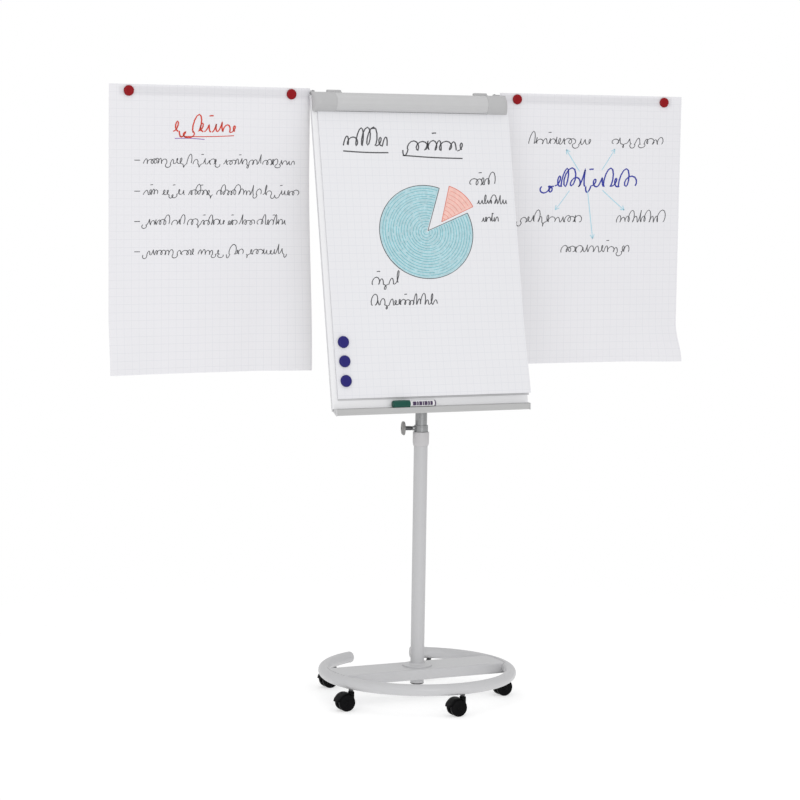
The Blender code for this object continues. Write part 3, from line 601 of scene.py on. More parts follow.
def base():
    steps = 168
    path = [ring_point(RING_HALF_SWEEP * (2 * i / steps - 1)) for i in range(steps + 1)]
    add("ring_tube", swept(path, RING_TUBE_R, 44), PAINT, "base", replaces=("base_ring",))
    rim = RING_TUBE_R - 0.0004
    dome = arc((0.0, 0.0018), (rim, 0.0042), 80.0, 0.0, 8)
    dome = [(0.0, 0.006)] + dome + [(rim, 0.0002), (0.0, 0.0002)]
    for tag, side in SIDES:
        end = ring_point(side * RING_HALF_SWEEP)
        outward = (end - ring_point(side * (RING_HALF_SWEEP - 0.5))).normalized()
        add(f"plug_{tag}", turned(dome), GREY_PLASTIC, "base",
            aimed(end, outward), (f"ring_plug_{tag}",))

    corner = 0.0045
    edge = CROSSBAR_HALF_DEPTH - corner
    low, high = CROSSBAR_BOTTOM + corner, CROSSBAR_TOP - corner
    section = []
    for centre, start in (((edge, high), 0.0), ((-edge, high), 90.0), ((-edge, low), 180.0),
                          ((edge, low), 270.0)):
        bend = arc(centre, (corner, corner), start, start + 90.0, 6)
        if section:
            section += bent_line(section[-1], bend[0], count=24)[1:-1]
        section += bend
    points = []
    for side in (-1, 1):
        for y, z in section:
            tube = RING_R - sqrt(RING_TUBE_R ** 2 - (z - RING_Z) ** 2) - 0.0001
            points.append(Vector((side * sqrt(tube ** 2 - y ** 2), y, z)))
    count = len(section)
    faces = walls(count)
    for side in (0, 1):
        points.append(Vector((points[side * count].x * 0.97, 0.0, RING_Z)))
        faces += [[side * count + i, side * count + (i + 1) % count, 2 * count + side]
                  for i in range(count)]
    finish("crossbar", (points, faces), PAINT)

    dice = random.Random(7)
    beads = []
    seam = RING_TUBE_R ** 2 - (CROSSBAR_TOP - RING_Z) ** 2
    for side in (-1, 1):
        path, radii = [], []
        for index in range(61):
            y = -0.0635 + 0.127 * index / 60
            reach = RING_R - sqrt(seam) - 0.0008
            path.append(Vector((side * sqrt(reach ** 2 - y ** 2), y, CROSSBAR_TOP + 0.0001)))
            radii.append(0.0019 + 0.0004 * sin(index * 1.9) + 0.0003 * dice.random())
        beads.append(swept(path, radii, 12))
    add("crossbar_welds", merged(*beads), PAINT, "base")


def mast():
    bore, fillet = MAST_R + 0.0002, MAST_R + 0.0035
    flange = [(bore, 0.012), (fillet, 0.0118)]
    flange += arc((fillet + 0.005, 0.011), (-0.005, -0.0055), 0.0, 90.0, 6)
    flange += [(0.0455, 0.0045), (0.0472, 0.004), (0.048, 0.0028), (0.048, 0.0), (bore, 0.0)]
    finish("mast_flange", closed_turn(raised(CROSSBAR_TOP + 0.0002, flange)), PAINT)
    tube = (raised(MAST_TOP, [(MAST_BORE, 0.0), (MAST_R - 0.0005, 0.0), (MAST_R, -0.0005)])
            + raised(MAST_BOTTOM, [(MAST_R, 0.0005), (MAST_R - 0.0005, 0.0), (MAST_BORE, 0.0)]))
    finish("mast_tube", closed_turn(tube, 96), PAINT)
    plug = MAST_BORE - 0.0004
    foot = [(0.0, 0.01), (plug, 0.01), (plug, -0.0003), (MAST_R, -0.0003),
            (MAST_R - 0.0006, -0.0022), (MAST_R - 0.003, -0.0038), (0.01, -0.005), (0.0, -0.005)]
    add("mast_foot_finish", turned(raised(MAST_BOTTOM, foot)), BLACK_PLASTIC, "base",
        replaces=("mast_foot_plug",))
    inside = MAST_R + 0.0003
    collar = (raised(MAST_TOP, [(inside, 0.0), (0.0238, 0.0), (0.0252, -0.0005),
                                (0.026, -0.0016), (0.0262, -0.0032)])
              + raised(COLLAR_BOTTOM, [(0.0262, 0.01), (0.0258, 0.0088), (0.0244, 0.0018),
                                       (0.0236, 0.0003), (0.023, 0.0), (inside, 0.0)]))
    finish("mast_collar", closed_turn(collar, 96), COLLAR_PLASTIC)
    inner, outer = INNER_R + 0.0003, MAST_BORE - 0.0003
    bush = raised(MAST_TOP, [(inner, 0.0), (outer, 0.0), (outer, -0.045), (inner, -0.045)])
    finish("mast_bush", closed_turn(bush), BLACK_PLASTIC)


def clamp():
    """The clamp ring with its boss, the screw through it and the lobed knob."""
    outer, bore = 0.0225, INNER_R + 0.0005
    ring = (raised(CLAMP_RING_TOP, [(bore, 0.0), (outer - 0.0008, 0.0), (outer, -0.0008),
                                    (outer, -0.004), (outer - 0.0003, -0.0044),
                                    (outer - 0.0003, -0.0052), (outer, -0.0056)])
            + raised(CLAMP_RING_BOTTOM, [(outer, 0.0008), (outer - 0.0008, 0.0), (bore, 0.0)]))
    boss = [(0.0033, 0.029), (0.0066, 0.029), (0.0075, 0.0282), (0.0075, 0.0212), (0.0033, 0.0212)]
    to_left = aimed((0.0, 0.0, KNOB_Z), (-cos(CLAMP_TURN), sin(CLAMP_TURN), 0.0))
    finish("clamp_ring", merged(closed_turn(ring, 96), moved(closed_turn(boss, 40), to_left)), ZINC)
    thread = raised(KNOB_REACH - 0.006,
                    [(0.0, 0.008), (0.0043, 0.008), (0.0045, 0.0078), (0.0045, 0.0003),
                     (0.006, 0.0002), (0.0068, -0.0005)])
    thread += [(0.0068, 0.0318), (0.0062, 0.0308), (0.0056, 0.03)]
    for turn in range(10):
        height = 0.0296 - 0.001 * turn
        thread += [(0.003, height), (0.0025, height - 0.0005)]
    thread += [(0.0022, 0.0194), (0.0, 0.0194)]
    finish("clamp_screw", turned(thread, 40), STEEL, to_left)

    def lobed(radius, _, angle):
        return radius * (1 - 0.085 * (1 - cos(6 * angle)) / 2 * between(radius, 0.013, 0.021))

    knob = [(0.0048, 0.011), (0.0085, 0.0113), (0.01, 0.0104), (0.0155, 0.0104),
            (0.0188, 0.0098), (0.0219, 0.0082), (0.0235, 0.0062), (KNOB_R, 0.0045),
            (0.0235, 0.0026), (0.0219, 0.001), (0.0182, 0.0002), (0.0106, 0.0), (0.0048, 0.0)]
    finish("clamp_knob", closed_turn(raised(KNOB_REACH - 0.005, knob), 96, lobed),
           KNOB_PLASTIC, to_left)


# ---------------- castors

def fender():
    """The crowned cover over both wheels; its tip runs out behind them."""
    inner = WHEEL_R + 0.0013
    across, around = 14, 30
    points = []
    for layer in (0, 1):
        for i in range(around + 1):
            angle = 6.0 + 124.0 * i / around
            turn = radians(angle)
            tip = 0.005 * (1 - between(angle, 6.0, 34.0))
            for j in range(across + 1):
                y = HOOD_HALF_WIDTH * (2 * j / across - 1)
                crown = 0.0012 * abs(y / HOOD_HALF_WIDTH) ** 4
                narrow = 1 - 0.35 * (1 - between(angle, 6.0, 30.0))
                reach = inner if layer == 0 else HOOD_R + tip - crown
                points.append(Vector((CASTOR_TRAIL + reach * cos(turn), y * narrow,
                                      WHEEL_R + reach * sin(turn))))
    size = (across + 1) * (around + 1)
    faces = grid_faces(around, across, (0, size))
    return points, faces + rim_faces(around, across, size)


def web():
    """The middle of the hood: it holds the axle and the stem's socket."""
    over = arc((CASTOR_TRAIL, WHEEL_R), (HOOD_R - 0.0012, HOOD_R - 0.0012), 14.0, 116.0, 14)
    front = -0.0085
    side = over + [(0.0075, HOOD_TOP), (front + 0.002, HOOD_TOP), (front, HOOD_TOP - 0.002),
                   (front, WHEEL_R + 0.012), (front + 0.0022, WHEEL_R + 0.003),
                   (front + 0.0065, WHEEL_R - 0.005), (CASTOR_TRAIL - 0.01, WHEEL_R - 0.0135),
                   (CASTOR_TRAIL, WHEEL_R - 0.0155), (CASTOR_TRAIL + 0.01, WHEEL_R - 0.0135),
                   (CASTOR_TRAIL + 0.018, WHEEL_R - 0.006)]
    return extruded(side, -0.007, 0.007, lambda y, x, z: (x, y, z))


def castors():
    half = [(0.0, 0.0196), (0.003, 0.0196), (0.0036, 0.0204), (0.0066, 0.0204),
            (0.0078, 0.0196), (0.0086, 0.0182), (0.01, 0.0178), (0.0196, 0.0186),
            (0.0209, 0.0192), (0.0235, 0.0197), (0.0255, 0.0196), (0.0268, 0.0186),
            (0.0275, 0.017), (0.0275, 0.0104), (0.0268, 0.0084), (0.0253, 0.0076), (0.0035, 0.0076)]
    wheels = turned(half + [(radius, -height) for radius, height in reversed(half)], 56)
    hood, middle = fender(), web()
    neck = [(0.0, RING_Z - 0.01), (0.004, RING_Z - 0.01), (0.004, 0.0663), (0.0076, 0.0662),
            (0.008, 0.0658), (0.008, 0.0636), (0.0074, 0.063), (0.0068, 0.0622),
            (0.004, 0.0621), (0.004, 0.045), (0.0, 0.045)]
    for index, angle in enumerate(CASTOR_ANGLES, 1):
        foot = ring_point(angle, -RING_Z)
        swivel = (Matrix.Translation(foot)
                  @ Matrix.Rotation(radians(CASTOR_TRAIL_DIRECTION), 4, "Z"))
        axle = swivel @ Matrix.Translation((CASTOR_TRAIL, 0.0, WHEEL_R)) @ FACING_OUT
        add(f"stem_{index}", turned(neck, 36), STEEL, "base", Matrix.Translation(foot),
            (f"castor_stem_{index}",))
        soften(add(f"hood_{index}", merged(hood, middle), BLACK_PLASTIC, f"castor_{index}",
                   swivel, (f"castor_hood_{index}",)), 0.0008, 2)
        add(f"wheels_{index}", wheels, BLACK_PLASTIC, f"wheels_{index}", axle,
            (f"castor_wheels_{index}",))


# ---------------- mast head, board and tray

def inner_tube():
    top = head_point(0.0, BOARD_THICKNESS + 0.0003 + INNER_R, TUBE_TOP)
    along = HEAD.to_3x3() @ Vector((0.0, 0.0, 1.0))
    bend = Vector((0.0, 0.0, top.z - top.y * along.z / along.y))
    tangent = 0.01
    path = [Vector((0.0, 0.0, INNER_BOTTOM))]
    for index in range(9):
        share = index / 8
        path.append(bend - Vector((0.0, 0.0, tangent * (1 - share) ** 2))
                    + along * tangent * share ** 2)
    finish("inner_tube", swept(path + [top], INNER_R, 64), ZINC)
    cap = [(0.0, 0.004), (0.015, 0.0036), (0.018, 0.0024), (INNER_R, 0.0006),
           (INNER_R, 0.0), (0.0, 0.0)]
    add("inner_tube_cap", turned(cap), BLACK_PLASTIC, "head", aimed(top, along))
    wide = MAST_BORE - 0.0003
    glide = [(0.01, 0.0), (wide, 0.0), (wide, -0.01), (wide - 0.001, -0.011), (0.01, -0.011)]
    finish("inner_glide", closed_turn(raised(INNER_BOTTOM - 0.0003, glide)), BLACK_PLASTIC)
    for name in ("lower_strap", "upper_strap"):
        refined(name, PAINT, 0.0008)
    heads = [screw_head(head_point(across, BOARD_THICKNESS + 0.0033, height + offset), BEHIND)
             for across in (-0.044, 0.044) for height in (-0.7, -0.32) for offset in (-0.01, 0.01)]
    add("strap_screws", merged(*heads), STEEL, "head")


def board():
    """The pan of thin sheet with rounded front edges, open at the back, and its core."""
    shell = finish("board_face", block((-BOARD_HALF_WIDTH, 0.0, BOARD_BOTTOM),
                                       (BOARD_HALF_WIDTH, BOARD_THICKNESS, BOARD_TOP)),
                   LACQUER, HEAD)

    def at_back(part):
        return all(abs(vert.co.y - BOARD_THICKNESS) < 1e-6 for vert in part.verts)

    with editing(shell.data) as shape:
        rounded = [edge for edge in shape.edges if not at_back(edge)]
        bmesh.ops.bevel(shape, geom=rounded, offset=0.0016, segments=4, profile=0.5, affect="EDGES")
        bmesh.ops.delete(shape, geom=[face for face in shape.faces if at_back(face)],
                         context="FACES")
    shell.data.shade_smooth()
    shell.data.set_sharp_from_angle(angle=radians(50.0))
    wall = shell.modifiers.new("Sheet", "SOLIDIFY")
    wall.thickness = 0.0008
    wall.offset = -1.0
    refined("board_core", LINER, 0.0006, 2)


def tray():
    """A rolled lip, a floor, a low rib, a channel for the board's edge and a flange behind."""
    back = BOARD_THICKNESS + 0.0003
    foot, rise = (head_point(0.0, back, BOARD_BOTTOM + up) for up in (0.0, 0.028))
    slope = (rise.y - foot.y) / (rise.z - foot.z)
    start = foot.y + slope * (TRAY_CHANNEL - foot.z)
    step = foot.y - 0.013
    under, below = TRAY_FLOOR - TRAY_SHEET, TRAY_CHANNEL - TRAY_SHEET
    rib = TRAY_FLOOR + 0.002
    bow = 0.02
    axis = (TRAY_FRONT + bow, TRAY_LIP_BOTTOM + 0.0115)
    outside = arc(axis, (-bow, bow), 25.0, -35.0, 20)
    inside = arc(axis, (-bow + TRAY_SHEET, bow - TRAY_SHEET), -33.0, 12.0, 12)
    lip = inside[-1][0] + 0.0008
    section = (outside + inside
               + [(lip, under), (step - TRAY_SHEET, under), (step - TRAY_SHEET, below),
                  (start + TRAY_SHEET, below), (rise.y + TRAY_SHEET, rise.z), (rise.y, rise.z),
                  (start, TRAY_CHANNEL), (step, TRAY_CHANNEL), (step, rib),
                  (step - 0.0011, rib), (step - 0.0014, TRAY_FLOOR),
                  (lip + 0.0008, TRAY_FLOOR), (lip, TRAY_FLOOR + 0.0006), (lip, TRAY_RIM)])
    profile = extruded(section, -TRAY_HALF_LENGTH, TRAY_HALF_LENGTH)
    soften(finish("pen_tray", profile, TRAY_METAL, sharp=25.0), 0.0004, 2, 50.0)
    for tag, _ in SIDES:
        refined(f"tray_cap_{tag}", TRAY_PLASTIC, 0.0008)


def marker():
    """The felt marker in the tray: dark cap to the left, white barrel with printed bands."""
    joint, end, wide, body = 0.058, 0.15, MARKER_CAP_R, MARKER_R
    place = Matrix.Translation(MARKER_PLACE) @ FACING_RIGHT
    cap = [(0.0, 0.0)] + arc((wide - 0.004, 0.004), (0.004, 0.004), -90.0, 0.0, 6)
    cap += raised(joint, [(wide, -0.012), (wide - 0.0004, -0.0116), (wide - 0.0004, -0.01),
                          (wide, -0.0096), (wide, -0.0004), (wide - 0.0004, 0.0), (0.0068, 0.0)])
    cap += [(0.0068, 0.01), (0.0, 0.004)]
    clip = block((-wide - 0.0004, -0.0014, 0.008), (-wide + 0.0024, 0.0014, 0.044))
    finish("marker_cap", merged(turned(cap, 64), clip), TEAL_PLASTIC, place)
    barrel = raised(end, [(0.0, 0.0), (0.005, 0.0), (0.0056, -0.0004), (0.006, -0.0012),
                          (body - 0.0002, -0.0016), (body, -0.0022)])
    barrel += raised(joint, [(body, 0.004), (body + 0.0012, 0.003), (body + 0.0012, 0.0004),
                             (0.0065, 0.0003), (0.006, -0.022), (0.0028, -0.028),
                             (0.002, -0.038), (0.0, -0.04)])
    finish("marker_barrel", turned(barrel, 64), WHITE_PLASTIC, place)
    reach, under = body + 0.00011, body - 0.0002
    bands = [closed_turn([(reach, high), (reach, low), (under, low), (under, high)], 48)
             for low, high in ((joint + 0.0052, joint + 0.0058), (0.1436, 0.1478))]
    faces = grid_faces(6, 1, (0, 14)) + rim_faces(6, 1, 14)
    patches = []
    for low, high in ((0.0665, 0.079), (0.0808, 0.0868), (0.0886, 0.099), (0.101, 0.1058),
                      (0.1074, 0.118), (0.12, 0.1262), (0.128, 0.1365)):
        points = [Vector((layer * cos(turn), layer * sin(turn), along)) for layer in (reach, under)
                  for turn in (radians(-138.0 + 13.0 * step) for step in range(7))
                  for along in (low, high)]
        patches.append((points, faces))
    add("marker_print", merged(*bands, *patches), PRINT, "head", place)


# ---------------- clamp bar, hooks and arms

def bar_section(grow, start, end, count):
    return arc((0.0, BAR_CENTRE_Z), (BAR_DEPTH + grow, BAR_HALF_HEIGHT + grow), start, end, count)


def clamp_bar():
    half = BAR_HALF_LENGTH - BAR_CAP_LENGTH - 0.0003
    outer = []
    for index, point in enumerate(bar_section(0.0, 94.0, 253.0, 64)):
        groove = 0.0005 if index in (20, 21, 44, 45) else 0.0
        outer.append((point[0] + groove, point[1]))
    section = outer + bar_section(-0.0022, 252.0, 94.5, 40)
    finish("clamp_bar", extruded(section, -half, half), ALUMINIUM, HEAD, sharp=28.0)
    ridges = [(-0.004, -0.0568), (-0.0081, -0.0568), (-0.0081, -0.0552), (-0.0075, -0.0546),
              (-0.0081, -0.054), (-0.0081, -0.0528), (-0.0075, -0.0522), (-0.0081, -0.0516),
              (-0.0081, -0.05), (-0.004, -0.05)]
    finish("grip_strip", extruded(ridges, -half, half), RUBBER, HEAD)
    for tag, side in SIDES:
        bar_cap(tag, side)


def bar_cap(tag, side):
    """A moulded end of the bar: its front curves back to the board towards the outer end."""
    start, end = BAR_HALF_LENGTH - BAR_CAP_LENGTH, BAR_HALF_LENGTH
    full = BAR_DEPTH + 0.0008
    back = full * cos(radians(98.0))
    stations = [(start, full - 0.0007, 0.0007), (start + 0.0006, full, 0.0)]
    for index in range(15):
        turn = radians(6.0 * index)
        depth = BAR_END_DEPTH + (full - BAR_END_DEPTH) * cos(turn)
        shrink = 0.0022 * between(index, 9, 15)
        stations.append((end - BAR_END_ROUND * (1 - sin(turn)), depth, shrink))
    stations.append((end, BAR_END_DEPTH, 0.0032))
    around = 56
    points = []
    for along, depth, shrink in stations:
        for angle in range(around + 1):
            turn = radians(98.0 + (262.0 - 98.0) * angle / around)
            forward = (full * cos(turn) - back) / (full + back)
            points.append(Vector((side * along, back + (depth + back) * forward,
                                  BAR_CENTRE_Z + (BAR_HALF_HEIGHT + 0.0008 - shrink) * sin(turn))))
    shell = (points, skin(len(stations), around + 1))
    ear = turned([(0.0, 0.0), (0.0038, 0.0), (0.0042, 0.0004), (0.0042, 0.0056), (0.0038, 0.006),
                  (0.0, 0.006)], 32)
    low, high = sorted((side * (end - 0.0065), side * (end - 0.0005)))
    hinge = Matrix.Translation((low, 0.008, 0.003)) @ FACING_RIGHT
    arm = block((low, -0.006, 0.0), (high, 0.008, 0.0048))
    finish(f"bar_cap_{tag}", merged(shell, moved(ear, hinge), arm), GREY_PLASTIC, HEAD, sharp=40.0)


def fittings():
    rivet = [(0.0, 0.0016), (0.002, 0.0014), (0.0036, 0.0006), (0.004, 0.0), (0.0, 0.0)]
    for tag, side in SIDES:
        refined(f"pad_hook_{tag}", GREY_PLASTIC, 0.0006, 2)
        refined(f"corner_bracket_{tag}", GREY_PLASTIC, 0.0006, 2)
        refined(f"side_arm_{tag}", PAINT, 0.0007, 2)
        screws = [screw_head(head_point(side * 0.316, BOARD_THICKNESS + 0.0048, height),
                             BEHIND, 0.0032) for height in (-0.03, -0.018)]
        add(f"bracket_screws_{tag}", merged(*screws), STEEL, "head")
        add(f"arm_rivet_{tag}", turned(rivet, 32), STEEL, "head",
            Matrix.Translation((side * ARM_PIVOT[0], ARM_PIVOT[1], RIVET_Z)))


def magnet(name, radius, look, body, place, node):
    """A round magnet: domed top with a shallow dish, and a knurled rim."""
    def knurled(reach, height, angle):
        fluted = reach > radius * 0.985 and height < MAGNET_THICKNESS * 0.6
        return reach - (0.00018 * (1 + cos(48 * angle)) if fluted else 0.0)

    dish = [(0.0, -0.0007), (0.45, -0.0005), (0.62, 0.0), (0.78, -0.0003), (0.9, -0.0014),
            (0.97, -0.0028), (1.0, -0.0042)]
    profile = [(radius * share, MAGNET_THICKNESS + up) for share, up in dish]
    profile += [(radius, 0.0008), (radius - 0.0006, 0.0), (0.0, 0.0)]
    add(name, turned(profile, 192, knurled), look, body, place, (node,))


def magnets():
    for tag, side in SIDES:
        for index, reach in enumerate(RED_MAGNET_X, 1):
            spot = Matrix.Translation((side * reach, SHEET_Y - 0.0004, RED_MAGNET_Z))
            magnet(f"red_magnet_{tag}{index}", RED_MAGNET_R, RED, f"arm_{tag}",
                   arm_place(side) @ spot @ FACING_OUT, f"arm_magnet_{tag}{index}")
    for index, drop in enumerate(BLUE_MAGNET_DROPS, 1):
        spot = Matrix.Translation((BLUE_MAGNET_X, SHEET_FACE - 0.0004, -drop))
        magnet(f"blue_magnet_{index}", BLUE_MAGNET_R, BLUE, "head", HEAD @ spot @ FACING_OUT,
               f"board_magnet_{index}")


# ---------------- paper

def pad_face(across, drop, lift=0.0):
    """The top sheet: flat under the magnets, and its free end stands off the board."""
    free = between(drop, 0.7, PAD_BOTTOM)
    curl = 0.003 + 0.008 * between(across, -0.2, 0.25)
    ripple = 0.0007 * sin(across * 11.0 + 0.6) * between(drop, 0.1, 0.6)
    near = exp(-((across - BLUE_MAGNET_X) / 0.06) ** 2)
    forward = (curl * free ** 1.5 + ripple + 0.0007) * (1 - 0.9 * near)
    return Vector((across, SHEET_FACE - forward - lift, -drop))


def side_face(side):
    """A side sheet that hangs from its two magnets and curls at its free corners."""
    def face(across, drop, lift=0.0):
        out = abs(across)
        hang = between(drop, 0.05, SHEET_DROP)
        billow = 0.006 * hang * (0.5 + 0.5 * sin(out * 7.0 + (1.2 if side < 0 else 3.4)))
        if side > 0:
            corner = 0.046 * between(drop, 0.755, SHEET_DROP) ** 1.2 * between(out, 0.8, 1.022)
            corner += 0.004 * between(drop, 0.6, SHEET_DROP) * (1 - between(out, 0.34, 0.5))
        else:
            corner = 0.016 * between(drop, 0.7, SHEET_DROP) * between(out, 0.84, 1.022)
            corner += 0.036 * between(drop, 0.25, SHEET_DROP) * (1 - between(out, 0.34, 0.54))
        return Vector((across, SHEET_Y - billow - corner - lift, SHEET_TOP - drop))
    return face


# Each sheet's body, face and place
PAD_SHEET = ("head", pad_face, HEAD)
HUNG_SHEETS = {tag: (f"arm_{tag}", side_face(side), arm_place(side)) for tag, side in SIDES}


def paper_sheet(name, sheet, edges, drops, look, node):
    """A grid of paper over a sheet's face, with a metre UV map, given its thickness."""
    body, face, place = sheet
    wide, tall = 56, 72
    (left, right), (top, bottom) = edges, drops
    flat = [(left + (right - left) * i / wide, top + (bottom - top) * j / tall)
            for j in range(tall + 1) for i in range(wide + 1)]
    points = [face(across, drop) for across, drop in flat]
    paper = add(name, (points, grid_faces(tall, wide)), look, body, place, (node,))
    grid = paper.data.uv_layers.new(name="paper")
    for loop in paper.data.loops:
        across, drop = flat[loop.vertex_index]
        grid.data[loop.index].uv = (across - left, drop - top)
    thick = paper.modifiers.new("Paper", "SOLIDIFY")
    thick.thickness = 0.0002
    thick.offset = 0.0
    paper.modifiers.new("Flat To The Edge", "WEIGHTED_NORMAL")


def pad():
    """The bound stack under the top sheet: leaves that don't quite line up, on grey card whose
    strip below the leaves is a painted shadow under the pad's lower edge.
    """
    dice = random.Random(3)
    leaves = []
    count = 9
    card = 0.0007
    step = (0.0024 - 0.0002 - card) / count
    # The card runs 5.5 mm below the leaves: a grey strip that paints the shadow under the pad's
    # lower edge.
    add("pad_card_painted_shadow", block((PAD_LEFT + 0.0004, PAD_BACK - card + 0.0001, -PAD_BOTTOM - 0.0055),
                          (PAD_RIGHT - 0.0004, PAD_BACK, -PAD_TOP)), CARD_WITH_PAINTED_SHADOW, "head", HEAD)
    for index in range(count):
        back = PAD_BACK - card - step * index
        slip = 0.0009 * (dice.random() - 0.5)
        leaves.append(block((PAD_LEFT + 0.0005 + slip, back - step * 0.8,
                             -PAD_BOTTOM + 0.0004 + 0.0012 * dice.random()),
                            (PAD_RIGHT - 0.0005 + slip, back, -PAD_TOP)))
    add("pad_leaves", merged(*leaves), PAGE_EDGES, "head", HEAD, ("pad_block",))
    paper_sheet("pad_top_sheet", PAD_SHEET, (PAD_LEFT, PAD_RIGHT), (PAD_TOP, PAD_BOTTOM), PAPER,
                "top_sheet")


def side_sheets():
    for tag, side in SIDES:
        inner = SHEET_INNER[tag]
        edges = sorted((side * inner, side * (inner + SHEET_WIDTH)))
        paper_sheet(f"hung_sheet_{tag}", HUNG_SHEETS[tag], edges, (0.0, SHEET_DROP), HUNG_PAPER,
                    f"side_sheet_{tag}")


# ---------------- drawings

def strokes(name, lines, look, sheet, width):
    """Marker lines on a sheet: thin ribbons that follow the paper, wider across the nib."""
    body, face, place = sheet
    ribbons = []
    for line in lines:
        points = []
        for index, (across, drop) in enumerate(line):
            ahead = line[min(index + 1, len(line) - 1)]
            behind = line[max(index - 1, 0)]
            along = Vector((ahead[0] - behind[0], ahead[1] - behind[1]))
            along = along.normalized() if along.length > 1e-9 else Vector((1.0, 0.0))
            nib = 0.5 * width * (0.72 + 0.4 * abs(along.x * 0.5 + along.y * 0.86))
            for side, lift in ((-nib, 0.00035), (nib, 0.00035), (nib, 0.00018), (-nib, 0.00018)):
                points.append(face(across - along.y * side, drop + along.x * side, lift))
        ribbons.append((points, skin(len(line), 4)))
    add(name, merged(*ribbons), look, body, place)


def scrawl(dice, start, baseline, width, height):
    """A run of small uneven arches and loops that suggests handwriting and spells nothing."""
    count = max(3, round(width / (height * 0.4)))
    tall = [dice.choice((0.42, 0.52, 0.6, 0.46, 1.05, 0.55, -0.36, 0.5)) for _ in range(count)]
    loop = [dice.choice((-0.16, -0.06, 0.05, 0.18, 0.26, 0.12)) for _ in range(count)]
    wide = [dice.uniform(0.65, 1.35) for _ in range(count)]
    scale = width / sum(wide)
    lines, line, left = [], [], start
    steps, lean = 10, 0.22
    for rise, swing, share in zip(tall, loop, wide):
        for index in range(steps):
            phase = index / steps
            high = height * rise * (0.5 - 0.5 * cos(2 * pi * phase))
            back = swing * height * sin(2 * pi * phase)
            line.append((left + scale * share * phase - back + lean * high,
                         baseline - high + 0.03 * height * sin(left * 90.0 + phase * 2.0)))
        left += scale * share
        if dice.random() < 0.3:
            line.append((left, baseline))
            lines.append(line)
            line = []
            left += 0.06 * height
    lines.append(line)
    if dice.random() < 0.6:
        dot = start + width * dice.uniform(0.2, 0.7)
        lines.append([(dot, baseline - 0.98 * height), (dot + 0.14 * height,
                                                        baseline - 1.0 * height),
                      (dot + 0.28 * height, baseline - 1.0 * height)])
    return [points for points in lines if len(points) > 2]


def left_drawing():
    dice = random.Random(21)
    sheet = HUNG_SHEETS["l"]
    strokes("ink_red_l", scrawl(dice, -0.806, 0.142, 0.2, 0.05), RED_INK, sheet, 0.0046)
    strokes("ink_underline_l", [bent_line((-0.785, 0.157), (-0.6, 0.153), 0.002)], RED_INK,
            sheet, 0.003)
    strokes("ink_violet_l", [bent_line((-0.8, 0.164), (-0.7, 0.166), -0.002)], VIOLET_INK,
            sheet, 0.0026)
    words = []
    for drop, widths in ((0.242, (0.15, 0.085, 0.12, 0.105)),
                         (0.337, (0.046, 0.072, 0.08, 0.14, 0.11)),
                         (0.43, (0.08, 0.036, 0.118, 0.022, 0.05, 0.09)),
                         (0.523, (0.115, 0.036, 0.08, 0.052, 0.13))):
        left = -0.905
        words.append(bent_line((-0.934, drop - 0.01), (-0.915, drop - 0.01)))
        for width in widths:
            words += scrawl(dice, left, drop, width, 0.03)
            left += width + 0.017
    strokes("ink_black_l", words, BLACK_INK, sheet, 0.0026)


def right_drawing():
    dice = random.Random(5)
    sheet = HUNG_SHEETS["r"]
    words = []
    for left, drop, width in ((0.45, 0.164, 0.222), (0.766, 0.16, 0.174),
                              (0.412, 0.422, 0.228), (0.784, 0.422, 0.173), (0.577, 0.522, 0.247)):
        words += scrawl(dice, left, drop, width, 0.038)
    strokes("ink_black_r", words, BLACK_INK, sheet, 0.0028)
    strokes("ink_blue_r", scrawl(dice, 0.502, 0.304, 0.322, 0.058), BLUE_INK, sheet, 0.0052)
    arrows = []
    for start, end in (((0.64, 0.254), (0.59, 0.182)), ((0.724, 0.249), (0.772, 0.178)),
                       ((0.604, 0.318), (0.552, 0.382)), ((0.728, 0.316), (0.812, 0.382)),
                       ((0.672, 0.318), (0.694, 0.478))):
        arrows.append(bent_line(start, end, 0.001))
        back = (Vector(start) - Vector(end)).normalized() * 0.016
        for turn in (0.5, -0.5):
            barb = Matrix.Rotation(turn, 2) @ back
            arrows.append(bent_line(end, (end[0] + barb.x, end[1] + barb.y), 0.0, 4))
    strokes("ink_arrows_r", arrows, PALE_BLUE_INK, sheet, 0.003)


def oval(centre, radii, angle, reach=1.0):
    """A point of an oval on the pad; angles run clockwise from the top, in degrees."""
    turn = radians(angle)
    return (centre[0] + radii[0] * reach * sin(turn), centre[1] - radii[1] * reach * cos(turn))


def curve(centre, radii, start, end, steps, reach=1.0):
    return [oval(centre, radii, start + (end - start) * i / steps, reach) for i in range(steps + 1)]


def fan(name, centre, radii, start, end, look):
    """A filled piece of an oval on the pad, a little thicker than nothing."""
    around, along = 64, 12
    lift = 0.00012
    points = [pad_face(*point, layer) for layer in (lift, lift - 0.00006) for i in range(along + 1)
              for point in curve(centre, radii, start, end, around, i / along)]
    size = (around + 1) * (along + 1)
    faces = grid_faces(along, around, (0, size))
    faces += rim_faces(along, around, size)
    with editing(add(name, (points, faces), look, "head", HEAD).data) as shape:
        bmesh.ops.remove_doubles(shape, verts=shape.verts, dist=0.000005)


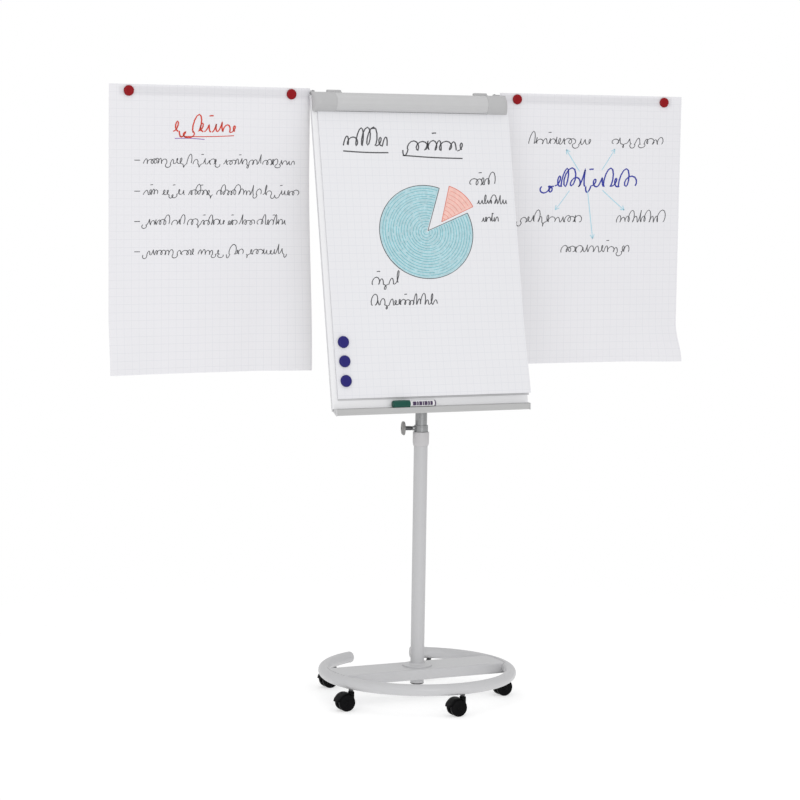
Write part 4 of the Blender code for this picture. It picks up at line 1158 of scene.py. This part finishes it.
def pad_drawing():
    dice = random.Random(14)
    words = scrawl(dice, -0.248, 0.166, 0.146, 0.056) + scrawl(dice, -0.04, 0.178, 0.212, 0.056)
    words.append(bent_line((-0.25, 0.184), (-0.092, 0.188), 0.002))
    words.append(bent_line((-0.042, 0.196), (0.172, 0.204), 0.002))
    strokes("ink_heading", words, BLACK_INK, PAD_SHEET, 0.0044)
    notes = []
    for note in ((0.196, 0.29, 0.078, 0.04), (0.212, 0.352, 0.11, 0.028),
                 (0.224, 0.41, 0.06, 0.026), (-0.18, 0.612, 0.086, 0.042),
                 (-0.186, 0.678, 0.212, 0.034)):
        notes += scrawl(dice, *note)
    strokes("ink_notes", notes, BLACK_INK, PAD_SHEET, 0.0032)

    pie = ((0.0231, 0.444), (0.166, 0.151))
    first, last = 66.0, 380.0
    fan("pie_wash", *pie, first, last, TEAL_WASH)
    hatch = []
    for ring in range(1, 17):
        angle = first + 2.0
        while angle < last - 4.0:
            span = min(dice.uniform(24.0, 95.0), last - 2.0 - angle)
            wander = dice.uniform(-0.012, 0.012)
            hatch.append(curve(*pie, angle, angle + span, max(3, int(span / 5)),
                               ring / 17 + wander))
            angle += span + dice.uniform(1.0, 7.0)
    strokes("ink_pie_hatch", hatch, TEAL_INK, PAD_SHEET, 0.0019)
    rim = curve(*pie, first, last, 90)
    inner = (pie[0][0] + 0.005, pie[0][1] - 0.004)
    strokes("ink_pie_outline", [bent_line(inner, rim[0]), rim, bent_line(rim[-1], inner)],
            BLACK_INK, PAD_SHEET, 0.0024)

    tip, wide = (0.0795, 0.4114), (0.128, 0.121)
    start, end = 16.5, 66.0
    fan("slice_wash", tip, wide, start, end, CORAL_WASH)
    sides = [bent_line(tip, oval(tip, wide, angle)) for angle in (start, end)]
    strokes("ink_slice_outline", sides + [curve(tip, wide, start, end, 24)], CORAL_INK,
            PAD_SHEET, 0.0024)
    shade = [curve(tip, wide, start + 3.5, end - 4.0, 8, index / 9) for index in range(1, 9)]
    strokes("ink_slice_hatch", shade, CORAL_INK, PAD_SHEET, 0.001)


# ---------------- the whole scene

camera()
studio()
base()
mast()
clamp()
castors()
inner_tube()
board()
tray()
marker()
clamp_bar()
fittings()
magnets()
pad()
side_sheets()
left_drawing()
right_drawing()
pad_drawing()
